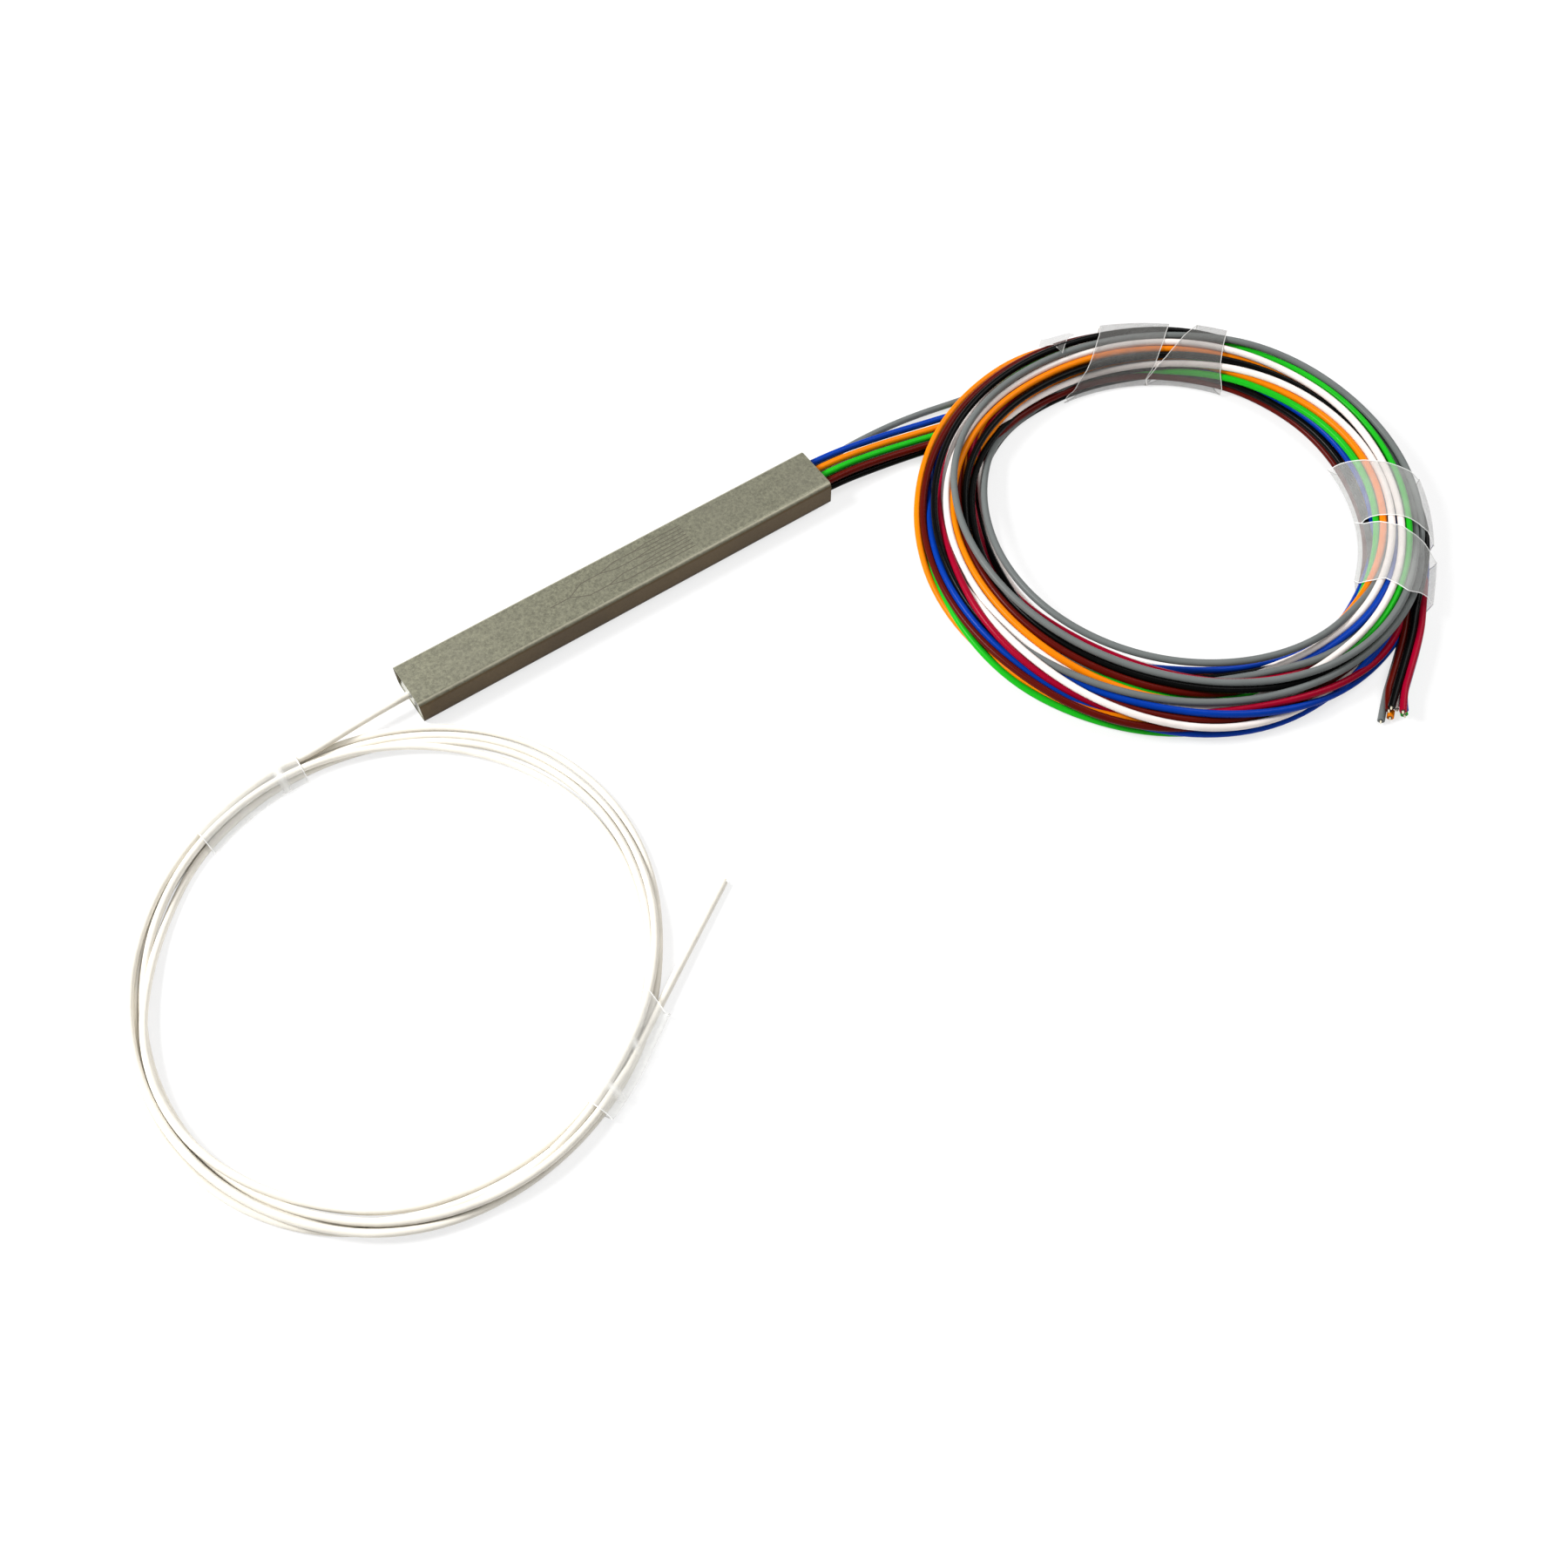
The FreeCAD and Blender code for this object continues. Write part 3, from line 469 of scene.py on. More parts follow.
# The input tube's way through its coil: (angle, radius, height)
IN_PASSES = [
    (75, 30.1, 1.6), (90, 29.5, 1.35), (120, 29.35, 1.25), (150, 29.0, 1.25), (180, 28.6, 1.25),
    (210, 28.9, 1.2), (240, 29.6, 0.9), (270, 28.95, 0.5), (300, 28.3, 0.45), (330, 27.9, 0.45),
    (360, 29.6, 0.45), (390, 30.7, 0.45), (405, 30.55, 0.45), (420, 30.3, 0.45), (445, 29.8, 0.45),
    (480, 29.45, 0.45), (510, 29.4, 0.45), (540, 29.5, 0.45), (570, 29.8, 0.45), (600, 29.3, 0.45),
    (630, 28.2, 0.9), (660, 27.6, 1.2), (690, 27.5, 1.1), (720, 28.4, 0.6), (750, 29.65, 0.45),
    (765, 29.5, 0.45), (780, 29.2, 0.45), (805, 28.9, 0.45),
    (840, 28.55, 0.45), (870, 28.5, 0.45), (900, 28.55, 0.45), (930, 28.9, 0.45), (960, 28.35, 0.45),
    (990, 28.0, 0.45), (1020, 27.4, 0.45), (1050, 27.0, 0.45), (1080, 28.0, 1.1), (1110, 28.6, 0.5),
    (1125, 28.75, 0.45), (1140, 28.35, 0.45), (1165, 28.0, 0.45),
    (1200, 27.9, 0.5), (1230, 27.8, 1.1), (1260, 28.3, 1.2), (1290, 27.7, 1.2), (1320, 27.5, 1.0),
    (1350, 27.1, 0.45), (1380, 26.5, 0.45), (1410, 26.4, 0.45), (1440, 27.1, 0.45), (1470, 27.0, 0.45),
    (1485, 27.15, 0.5), (1500, 27.7, 0.9), (1525, 28.3, 1.3),
    (1560, 28.6, 1.3), (1590, 27.9, 0.5), (1620, 27.7, 0.45), (1650, 27.9, 0.45), (1680, 28.8, 1.2),
    (1710, 28.7, 1.25), (1740, 28.3, 1.2),
]
IN_SECTION = [(0, 26.4, 31.4, 1.9), (180, 26.6, 30.9, 1.9)]
IN_ROUNDS = 200  # settling rounds of the input coil


def input_turns(rounds):
    """The wound part of the input tube: angle, radius and height of each control point."""
    passes = np.array(IN_PASSES)
    angle = np.arange(IN_PASSES[0][0], IN_PASSES[-1][0] + 1, STEP)
    radius, height = (np.interp(angle, passes[:, 0], passes[:, k]) for k in (1, 2))
    give = np.ones(len(angle))
    give[0] = give[-1] = 0
    lift = (height - crown(IN_SECTION, angle, radius)) / LAYER
    cord = {
        "angle": angle, "radius": radius, "height": height, "lane": radius.copy(), "lift": lift, "give": give,
    }
    return settle([cord], IN_SECTION, {}, rounds)[0]


def wound_points(centre, turns):
    """Control points of a wound tube. The spline cuts inside them, so they stand a little further out."""
    angle, radius, height = turns
    out = radius / (0.75 + 0.25 * math.cos(math.radians(STEP)))
    a = np.radians(angle)
    return [(centre[0] + r * math.cos(t), centre[1] + r * math.sin(t), h) for r, t, h in zip(out, a, height)]


# ---------------------------------------------------------------- shader maths
def maths(operation, swap=False):
    """A method that adds one maths node between a socket and a number or another socket."""
    def method(self, other):
        return self.math(operation, other, swap)
    return method


class Socket:
    """A shader socket that Python expressions can be written with."""

    def __init__(self, tree, link):
        self.tree, self.link = tree, link

    def math(self, operation, other=None, swap=False, clamp=False):
        values = [self] if other is None else ([other, self] if swap else [self, other])
        return self.tree.node("ShaderNodeMath", {"operation": operation, "use_clamp": clamp}, values)[0]

    __add__ = __radd__ = maths("ADD")
    __sub__ = maths("SUBTRACT")
    __rsub__ = maths("SUBTRACT", swap=True)
    __mul__ = __rmul__ = maths("MULTIPLY")

    def clamped(self):
        return self.math("ADD", 0.0, clamp=True)


class Finish:
    """A material being built, its Principled shader and its output."""

    def __init__(self, name):
        self.material = bpy.data.materials.get(name) or bpy.data.materials.new(name)
        self.material.use_nodes = True
        self.nodes = self.material.node_tree.nodes
        self.nodes.clear()
        self.output = self.nodes.new("ShaderNodeOutputMaterial")
        self.shader = self.nodes.new("ShaderNodeBsdfPrincipled")
        self.join(self.shader.outputs[0], self.output.inputs[0])

    def join(self, out, into):
        self.material.node_tree.links.new(out, into)

    def node(self, kind, settings, values):
        """Any node: its settings first, then its sockets' values or links. Returns its outputs."""
        n = self.nodes.new(kind)
        for key, value in settings.items():
            if key == "stops":
                ramp = n.color_ramp
                while len(ramp.elements) < len(value):
                    ramp.elements.new(0.5)
                for element, (place, colour) in zip(ramp.elements, value):
                    element.position, element.color = place, tuple(colour) + (1.0,)
            else:
                setattr(n, key, value)
        items = values.items() if isinstance(values, dict) else enumerate(values)
        for key, value in items:
            self.set(n.inputs[key], value)
        return [Socket(self, o) for o in n.outputs if o.enabled]

    def set(self, socket, value):
        if isinstance(value, Socket):
            self.join(value.link, socket)
        elif hasattr(socket.default_value, "__len__") and not hasattr(value, "__len__"):
            socket.default_value = [value] * len(socket.default_value)
        elif hasattr(value, "__len__") and len(socket.default_value) == 4 and len(value) == 3:
            socket.default_value = tuple(value) + (1.0,)
        else:
            socket.default_value = value

    def place(self):
        return self.node("ShaderNodeTexCoord", {}, {})[3]

    def stretched(self, vector, scale):
        return self.node("ShaderNodeMapping", {}, {"Vector": vector, "Scale": scale})[0]

    def noise(self, vector, scale, detail=3.0, rough=0.55):
        sizes = {"Vector": vector, "Scale": scale, "Detail": detail, "Roughness": rough}
        return self.node("ShaderNodeTexNoise", {}, sizes)[0]

    def blend(self, factor, first, second):
        n = self.nodes.new("ShaderNodeMix")
        n.data_type = "RGBA"
        self.set(n.inputs[0], factor)
        self.set(n.inputs[6], first)
        self.set(n.inputs[7], second)
        return Socket(self, n.outputs[2])

    def bump(self, height, distance, strength=1.0):
        sizes = {"Strength": strength, "Distance": distance, "Height": height}
        return self.node("ShaderNodeBump", {}, sizes)[0]

    def finish(self, **values):
        for key, value in values.items():
            self.set(self.shader.inputs[key.replace("_", " ")], value)
        return self.material


def linear(colour):
    """A colour written 0 to 255, as the linear one that shaders take."""
    shares = [c / 255 for c in colour]
    return tuple(c / 12.92 if c <= 0.04045 else ((c + 0.055) / 1.055) ** 2.4 for c in shares)


def tube_plastic(name, colour, gloss=0.24, sheen=0.06):
    """Extruded tube: slightly uneven colour, fine scuffs and a soft gloss."""
    f = Finish(name)
    at = f.place()
    broad = f.noise(at, 260.0, 3.0)
    fine = f.noise(at, 5200.0, 2.0)
    scuff = ((f.noise(at, 1500.0, 4.0, 0.7) - 0.56) * 6.0).clamped()
    base = f.blend(broad, tuple(c * 0.8 for c in colour), tuple(min(1.0, c * 1.1) for c in colour))
    base = f.blend(scuff * 0.12, base, tuple(min(1.0, c * 1.25 + 0.01) for c in colour))
    f.shader.inputs["Specular IOR Level"].default_value = sheen
    return f.finish(Base_Color=base, Roughness=gloss + 0.16 * scuff + 0.08 * fine,
                    Normal=f.bump(f.noise(at, 2600.0, 4.0) + 0.4 * fine, 0.00001, 0.5))


# Where the housing's finish changes, in metres from its middle plane and above its foot
SIDE_OUT, SIDE_TOP = 0.0031, 0.00372  # the sides, drawn in a darker painted shade, lie further out and lower than these
EDGE_OUT, EDGE_TOP = 0.00318, 0.0039  # a painted highlight along the top edge runs here
DARKER_BELOW = 0.0011  # the sides are darker below this
ACROSS, UPWARD, DARKENING = 5200.0, 4200.0, 1500.0  # how sharply each change comes, for each metre


def close_to(value, place, sharpness):
    """1 at a place, falling to 0 on both sides of it."""
    return (1.0 - ((value - place).math("ABSOLUTE") * sharpness)).clamped()


def steel(name):
    """Drawn steel: a speckled, slightly olive top, sides painted darker and browner as shade and a dark
    reflection, and a painted highlight along the top edges.
    """
    f = Finish(name)
    at = f.place()
    grain = f.noise(f.stretched(at, (220.0, 3800.0, 3800.0)), 1.0, 4.0, 0.6)
    speckle = f.noise(at, 2600.0, 5.0, 0.75)
    cloud = f.noise(at, 120.0, 3.0)
    xyz = f.node("ShaderNodeSeparateXYZ", {}, [at])
    out, up = xyz[1].math("ABSOLUTE"), xyz[2]
    side = ((out - SIDE_OUT) * ACROSS).clamped() * ((SIDE_TOP - up) * UPWARD).clamped()
    edge_highlight = close_to(out, EDGE_OUT, ACROSS) * close_to(up, EDGE_TOP, UPWARD)
    low = ((DARKER_BELOW - up) * DARKENING).clamped()
    top_tone = f.blend(((speckle - 0.36) * 3.2).clamped(), linear((102, 101, 86)), linear((142, 141, 120)))
    top_tone = f.blend((cloud - 0.3) * 0.7, top_tone, linear((128, 126, 112)))
    # The sides' darker, browner tone is painted shade and a painted dark reflection; the speckles in it are
    # the steel's own, and it grows darker towards the bottom.
    side_tone = f.blend(cloud, linear((66, 51, 30)), linear((92, 75, 46)))
    side_tone = f.blend(((speckle - 0.45) * 2.0).clamped() * 0.5, side_tone, linear((58, 44, 26)))
    side_tone = f.blend(low * 0.75, side_tone, linear((40, 28, 16)))
    tone = f.blend(side, top_tone, side_tone)
    # A painted highlight along the top edges.
    tone = f.blend(edge_highlight * (0.35 + 0.4 * grain), tone, linear((226, 220, 196)))
    return f.finish(Base_Color=tone, Metallic=0.55, Roughness=0.4 + 0.14 * speckle,
                    Normal=f.bump(speckle * 0.8 + grain * 0.5, 0.00003, 0.5))


def resin(name, colour, rough=0.42, alpha=1.0):
    """Cured adhesive: cloudy, slightly wavy."""
    f = Finish(name)
    at = f.place()
    cloud = f.noise(at, 900.0, 4.0, 0.6)
    base = f.blend(cloud, tuple(c * 0.72 for c in colour), tuple(min(1, c * 1.12) for c in colour))
    return f.finish(Base_Color=base, Roughness=rough + 0.12 * cloud, Alpha=alpha,
                    Normal=f.bump(f.noise(at, 1400.0, 3.0), 0.00006, 0.6))


def seal_resin():
    """The grey adhesive of both end seals."""
    return resin("seal_resin", linear((172, 172, 164)))


def fibre_coating():
    """The pale coating of the bare fibres."""
    return tube_plastic("fibre_coating", linear((222, 214, 190)))


def glass(name, colour, rough=0.12):
    """Polished glass block, kept cheap: a pale tint with fine lapping marks."""
    f = Finish(name)
    at = f.place()
    lapping = f.noise(f.stretched(at, (6000.0, 400.0, 400.0)), 1.0, 3.0)
    base = f.blend(f.noise(at, 700.0, 3.0), tuple(c * 0.85 for c in colour), colour)
    return f.finish(Base_Color=base, Roughness=rough + 0.1 * lapping, Transmission_Weight=0.35, IOR=1.47,
                    Normal=f.bump(lapping, 0.000004, 0.4))


def clear_film(name, tone, veil, highlight_tone):
    """Thin clear film: a milky veil, fine wrinkles, and a painted highlight along its cut edges and creases.
    """
    f = Finish(name)
    at = f.place()
    rim = f.node("ShaderNodeAttribute", {"attribute_name": "rim"}, {})[2]
    crease = f.node("ShaderNodeAttribute", {"attribute_name": "crease"}, {})[2]
    cloud = f.noise(at, 420.0, 3.0)
    wrinkle = f.noise(f.stretched(at, (300.0, 900.0, 500.0)), 1.0, 4.0, 0.6)
    # The cut edges and creases are drawn paler and more opaque: a painted highlight.
    film_highlight = (rim + crease * 0.6).clamped()
    base = f.blend(film_highlight, f.blend(cloud, tuple(c * 0.86 for c in tone), tone), highlight_tone)
    alpha = (veil + (cloud - 0.5) * 0.1 + rim * 0.62 + crease * 0.3).clamped()
    return f.finish(Base_Color=base, Alpha=alpha, Roughness=0.2 + 0.15 * wrinkle, IOR=1.45,
                    Normal=f.bump(wrinkle + cloud * 0.6, 0.0002, 0.6))


# ---------------------------------------------------------------- meshes
def placed(name, data):
    """A new object in the scene."""
    piece = bpy.data.objects.new(name, data)
    bpy.context.scene.collection.objects.link(piece)
    return piece


def mesh_piece(name, points, faces, material, smooth=True):
    """A piece with a mesh of its own."""
    mesh = bpy.data.meshes.new(name)
    mesh.from_pydata([tuple(p) for p in points], [], faces)
    mesh.update()
    for polygon in mesh.polygons:
        polygon.use_smooth = smooth
    mesh.materials.append(material)
    return placed(name, mesh)


def outward(piece):
    """Joins the points that lie in one place and turns all faces outwards."""
    b = bmesh.new()
    b.from_mesh(piece.data)
    bmesh.ops.remove_doubles(b, verts=b.verts, dist=1e-7)
    bmesh.ops.recalc_face_normals(b, faces=b.faces)
    b.to_mesh(piece.data)
    b.free()


def cord_piece(name, points, diameter, material):
    """A tube along one smooth spline. Its route is in millimetres and its diameter in metres."""
    curve = bpy.data.curves.new(name, "CURVE")
    curve.dimensions = "3D"
    curve.resolution_u = 6
    curve.bevel_depth = diameter / 2
    curve.bevel_resolution = 3
    curve.use_fill_caps = True
    spline = curve.splines.new("NURBS")
    spline.points.add(len(points) - 1)
    for point, (x, y, z) in zip(spline.points, points):
        point.co = (x * MM, y * MM, z * MM, 1.0)
    spline.order_u = 3
    spline.use_endpoint_u = True
    curve.materials.append(material)
    return placed(name, curve)


class Growth:
    """A Geometry Nodes tree being built over one base mesh."""

    def __init__(self, title, sizes):
        self.tree = bpy.data.node_groups.new(title, "GeometryNodeTree")
        self.sizes = sizes
        add = self.tree.interface.new_socket
        add("Geometry", in_out="INPUT", socket_type="NodeSocketGeometry")
        self.named = {
            key: add(key, in_out="INPUT", socket_type="NodeSocketFloat").identifier for key in sizes
        }
        add("Geometry", in_out="OUTPUT", socket_type="NodeSocketGeometry")
        self.given = self.tree.nodes.new("NodeGroupInput").outputs

    def node(self, kind, settings, values):
        """Any node: its settings first, then its sockets' values or links. Returns its outputs."""
        n = self.tree.nodes.new(kind)
        for key, value in settings.items():
            setattr(n, key, value)
        for key, value in values.items():
            if isinstance(value, bpy.types.NodeSocket):
                self.tree.links.new(value, n.inputs[key])
            else:
                n.inputs[key].default_value = value
        return n.outputs

    def grown(self, name, base, result, material):
        """Ends the tree, runs it over the base mesh and gives the result as a plain mesh piece."""
        real = self.node("GeometryNodeRealizeInstances", {}, {"Geometry": result})[0]
        dressed = self.node("GeometryNodeSetMaterial", {}, {"Geometry": real, "Material": material})[0]
        self.node("NodeGroupOutput", {}, {0: dressed})
        holder = placed(name + "_base", base)
        grower = holder.modifiers.new("growth", "NODES")
        grower.node_group = self.tree
        for key, value in self.sizes.items():
            grower[self.named[key]] = value
        held = holder.evaluated_get(bpy.context.evaluated_depsgraph_get())
        mesh = bpy.data.meshes.new_from_object(held)
        bpy.data.objects.remove(holder)
        mesh.name = name
        for polygon in mesh.polygons:
            polygon.use_smooth = False
        piece = placed(name, mesh)
        outward(piece)
        return piece


def pegs(name, title, places, ways, sizes, material, sides=24):
    """One short round peg at each place, pointing its own way: sizes in metres."""
    base = bpy.data.meshes.new(name + "_places")
    base.from_pydata([tuple(p) for p in places], [], [])
    way = base.attributes.new("way", "FLOAT_VECTOR", "POINT")
    way.data.foreach_set("vector", np.array(ways, np.float32).ravel())
    g = Growth(title, sizes)
    own_way = g.node("GeometryNodeInputNamedAttribute", {"data_type": "FLOAT_VECTOR"}, {"Name": "way"})[0]
    turned = g.node("FunctionNodeAlignRotationToVector", {"axis": "Z"}, {"Vector": own_way})[0]
    peg = g.node("GeometryNodeMeshCone", {"fill_type": "NGON"}, {
        "Vertices": sides, "Radius Top": g.given["Top radius"],
        "Radius Bottom": g.given["Foot radius"], "Depth": g.given["Height"],
    })[0]
    stood = g.node("GeometryNodeInstanceOnPoints", {}, {
        "Points": g.given["Geometry"], "Instance": peg, "Rotation": turned,
    })[0]
    return g.grown(name, base, stood, material)


KNEE = 0.55  # share of a step that a branch runs before it parts


def branching_lines(length, spread, levels):
    """Points and edges of a line that parts in two again and again, on the plane."""
    points, edges = [(-length / 2, 0.0, 0.0)], []
    tips, step = [0], length / (levels + 1)
    for level in range(levels + 1):
        gap = spread / 2 ** level / 2
        fresh = []
        for tip in tips:
            x, y, z = points[tip]
            points.append((x + step * KNEE, y, z))
            edges.append((tip, len(points) - 1))
            knee = len(points) - 1
            if level < levels:
                for side in (-1, 1):
                    points.append((x + step, y + side * gap / 2, z))
                    edges.append((knee, len(points) - 1))
                    fresh.append(len(points) - 1)
            else:
                points.append((x + step, y, z))
                edges.append((knee, len(points) - 1))
        tips = fresh
    return points, edges


def line_mark(name, points, edges, top, sizes, material):
    """A thin raised mark that follows a network of lines."""
    base = bpy.data.meshes.new(name + "_lines")
    base.from_pydata(points, edges, [])
    g = Growth("Line mark", sizes)
    path = g.node("GeometryNodeMeshToCurve", {}, {"Mesh": g.given["Geometry"]})[0]
    ring = g.node("GeometryNodeCurvePrimitiveCircle", {}, {
        "Resolution": 8, "Radius": g.given["Half width"],
    })[0]
    body = g.node("GeometryNodeCurveToMesh", {}, {"Curve": path, "Profile Curve": ring, "Fill Caps": True})[0]
    flat = g.node("ShaderNodeCombineXYZ", {}, {"X": 1.0, "Y": 1.0, "Z": g.given["Flatness"]})[0]
    laid = g.node("GeometryNodeTransform", {}, {
        "Geometry": body, "Scale": flat, "Translation": (0.0, 0.0, top),
    })[0]
    return g.grown(name, base, laid, material)


def line_of(piece):
    """The points along a cord's own line."""
    plain = piece.data.copy()
    plain.bevel_depth = 0
    probe = placed("probe", plain)
    mesh = bpy.data.meshes.new_from_object(probe)
    line = np.array([v.co for v in mesh.vertices])
    bpy.data.objects.remove(probe)
    return line


# ---------------------------------------------------------------- settings
def tone(label, use, colour):
    """A colour setting whose first value is written 0 to 255."""
    return FloatVectorProperty(name=label, description=use, default=linear(colour), subtype="COLOR")


class SplitterTubes(bpy.types.PropertyGroup):
    """The loose tubes: size, winding and colours"""
    diameter: FloatProperty(
        name="Tube diameter", description="Outer diameter of the loose tubes",
        default=TUBE * MM, unit="LENGTH")
    seed: IntProperty(name="Winding seed", description="Start of the hidden turns' places", default=4)
    rounds: IntProperty(
        name="Settling rounds", description="How long the turns settle against each other", default=600)
    grey: tone("Grey", "Slate tube", (104, 108, 107))
    blue: tone("Blue", "Blue tube", (2, 52, 150))
    white: tone("White", "White tube", (228, 219, 214))
    orange: tone("Orange", "Orange tube", (224, 120, 2))
    red: tone("Red", "Red tube", (146, 2, 36))
    green: tone("Green", "Green tube", (24, 168, 26))
    black: tone("Black", "Black tube", (5, 5, 5))
    brown: tone("Brown", "Brown tube", (82, 12, 5))
    natural: tone("Natural", "Input tube", (226, 221, 210))


class SplitterFilm(bpy.types.PropertyGroup):
    """The clear film: thickness and looks"""
    thickness: FloatProperty(
        name="Film thickness", description="Thickness of the clear film",
        default=0.00007, unit="LENGTH", precision=5)
    veil: FloatProperty(
        name="Veil", description="How much the film hides", default=0.2, subtype="FACTOR", min=0, max=1)
    # The top wrap's darker tone is painted shade and the side wrap's paler tone a painted reflection of the
    # light; both wraps are one film.
    top_tone: tone("Top tone", "Colour of the top wrap's veil", (130, 129, 126))
    side_tone: tone("Side tone", "Colour of the side wrap's veil", (214, 215, 212))


class SplitterStage(bpy.types.PropertyGroup):
    """The camera's lens and the lights"""
    lens: FloatProperty(name="Lens", description="Focal length in millimetres", default=34.72)
    sky: FloatProperty(name="Sky strength", description="Strength of the even light all round", default=0.4)
    key: FloatProperty(name="Key power", description="Power of the large lamp above", default=2.3)
    fill: FloatProperty(name="Fill power", description="Power of the lamp beside the camera", default=0.7)


# ---------------------------------------------------------------- operators
FLOOR_HALF = 1.5  # half the floor's width, in metres
FLOOR_GLOW = 0.72  # share of the floor's look that is plain white


class SPLITTER_OT_stage(bpy.types.Operator):
    """Camera, lamps and a pale floor"""
    bl_idname = "splitter.stage"
    bl_label = "Stage"

    def execute(self, context):
        s = context.scene.splitter_stage
        scene = context.scene
        scene.view_settings.view_transform = "Standard"
        data = bpy.data.cameras.new("camera")
        data.lens, data.sensor_width, data.clip_start = s.lens, 36.0, 0.005
        camera = placed("camera", data)
        camera.location = (-0.0496, -0.1078, 0.15465)
        look = Vector((0.000755, -0.03497, 0.0)) - camera.location
        camera.rotation_euler = look.to_track_quat("-Z", "Y").to_euler()
        scene.camera = camera
        f = Finish("floor_paper")
        at = f.place()
        shade = f.blend(f.noise(at, 60.0, 2.0), (0.90, 0.90, 0.90), (0.93, 0.93, 0.93))
        f.finish(Base_Color=shade, Roughness=0.85, Normal=f.bump(f.noise(at, 3000.0, 3.0), 0.00002, 0.2))
        glow = f.node("ShaderNodeEmission", {}, {"Color": (1.0, 1.0, 1.0), "Strength": 1.0})[0]
        rays = f.nodes.new("ShaderNodeLightPath")
        kinds = [Socket(f, rays.outputs[f"Is {kind} Ray"]) for kind in ("Camera", "Glossy", "Transmission")]
        seen = (kinds[0] + kinds[1] + kinds[2]).clamped() * FLOOR_GLOW
        mixed = f.node("ShaderNodeMixShader", {}, [seen, Socket(f, f.shader.outputs[0]), glow])[0]
        f.join(mixed.link, f.output.inputs[0])
        corners = [(x * FLOOR_HALF, y * FLOOR_HALF, 0) for x, y in ((-1, -1), (1, -1), (1, 1), (-1, 1))]
        floor = mesh_piece("floor", corners, [(0, 1, 2, 3)], f.material, smooth=False)
        world = bpy.data.worlds.new("studio")
        world.use_nodes = True
        background = world.node_tree.nodes["Background"]
        background.inputs[0].default_value = (1.0, 1.0, 1.0, 1.0)
        background.inputs[1].default_value = s.sky
        scene.world = world
        lamps = (("lamp_key", (-0.22, 0.16, 0.26), (0.02, -0.03, 0.0), s.key, 0.12),
                 ("lamp_fill", (0.26, -0.02, 0.30), (0.05, -0.03, 0.0), s.fill, 0.2))
        for name, place, aim, power, size in lamps:
            lamp = bpy.data.lights.new(name, "AREA")
            lamp.energy, lamp.size = power, size
            holder = placed(name, lamp)
            holder.location = place
            holder.rotation_euler = (Vector(aim) - Vector(place)).to_track_quat("-Z", "Y").to_euler()
        return {"FINISHED"}


class SPLITTER_OT_output_tubes(bpy.types.Operator):
    """The eight coloured output tubes, from the seal through the coil to their cut ends"""
    bl_idname = "splitter.output_tubes"
    bl_label = "Output tubes"

    def execute(self, context):
        s = context.scene.splitter_tubes
        turns = output_turns(s.seed, s.rounds)
        for name in COLOURS:
            route = LEADS[name] + wound_points(OUT_CENTRE, tuple(v[:-1] for v in turns[name])) + TAILS[name]
            material = tube_plastic("tube_plastic_" + name, tuple(getattr(s, name)))
            piece = cord_piece("output_tube_" + name, route, s.diameter, material)
            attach(piece, "root")
            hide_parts("output_lead_" + name, "output_tail_" + name, "output_coil")
        return {"FINISHED"}


class SPLITTER_OT_input_tube(bpy.types.Operator):
    """The natural input tube, from the seal through its coil to its cut end"""
    bl_idname = "splitter.input_tube"
    bl_label = "Input tube"

    def execute(self, context):
        s = context.scene.splitter_tubes
        turns = input_turns(IN_ROUNDS)
        route = INPUT_LEAD + wound_points(IN_CENTRE, tuple(v[1:] for v in turns)) + INPUT_TAIL
        material = tube_plastic("tube_plastic_natural", tuple(s.natural), 0.26)
        piece = cord_piece("input_tube", route, s.diameter, material)
        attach(piece, "root")
        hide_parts("input_lead", "input_tail", "input_coil")
        return {"FINISHED"}


def tube_sections(centre, cords, start, end, count):
    """Where the tubes cut each ray between two angles: a list of (angle, [(radius, height)])."""
    lines = []
    for piece in cords:
        line = line_of(piece) / MM
        x, y = line[:, 0] - centre[0], line[:, 1] - centre[1]
        lines.append((np.degrees(np.arctan2(y, x)), np.hypot(x, y), line[:, 2]))
    sections = []
    for angle in np.linspace(start, end, count):
        found = []
        for a, r, z in lines:
            off = np.mod(a - angle + 180, 360) - 180
            near = np.abs(off) < 40
            hit = np.where(near[:-1] & near[1:] & (off[:-1] * off[1:] <= 0) & (off[:-1] != off[1:]))[0]
            for k in hit:
                t = off[k] / (off[k] - off[k + 1])
                found.append((r[k] + t * (r[k + 1] - r[k]), z[k] + t * (z[k + 1] - z[k])))
        sections.append((angle, found))
    return sections


FILM_GAP = 0.05  # between the film and the tubes, in millimetres
FILM_LOW = 0.06  # the lowest height of the film's middle
FOLD = 0.15  # radius of a fold
FOLD_HEIGHT = 0.32  # height of the inner fold
LOOP_RAYS = 240  # directions in which a loop of film is drawn tight round the tubes


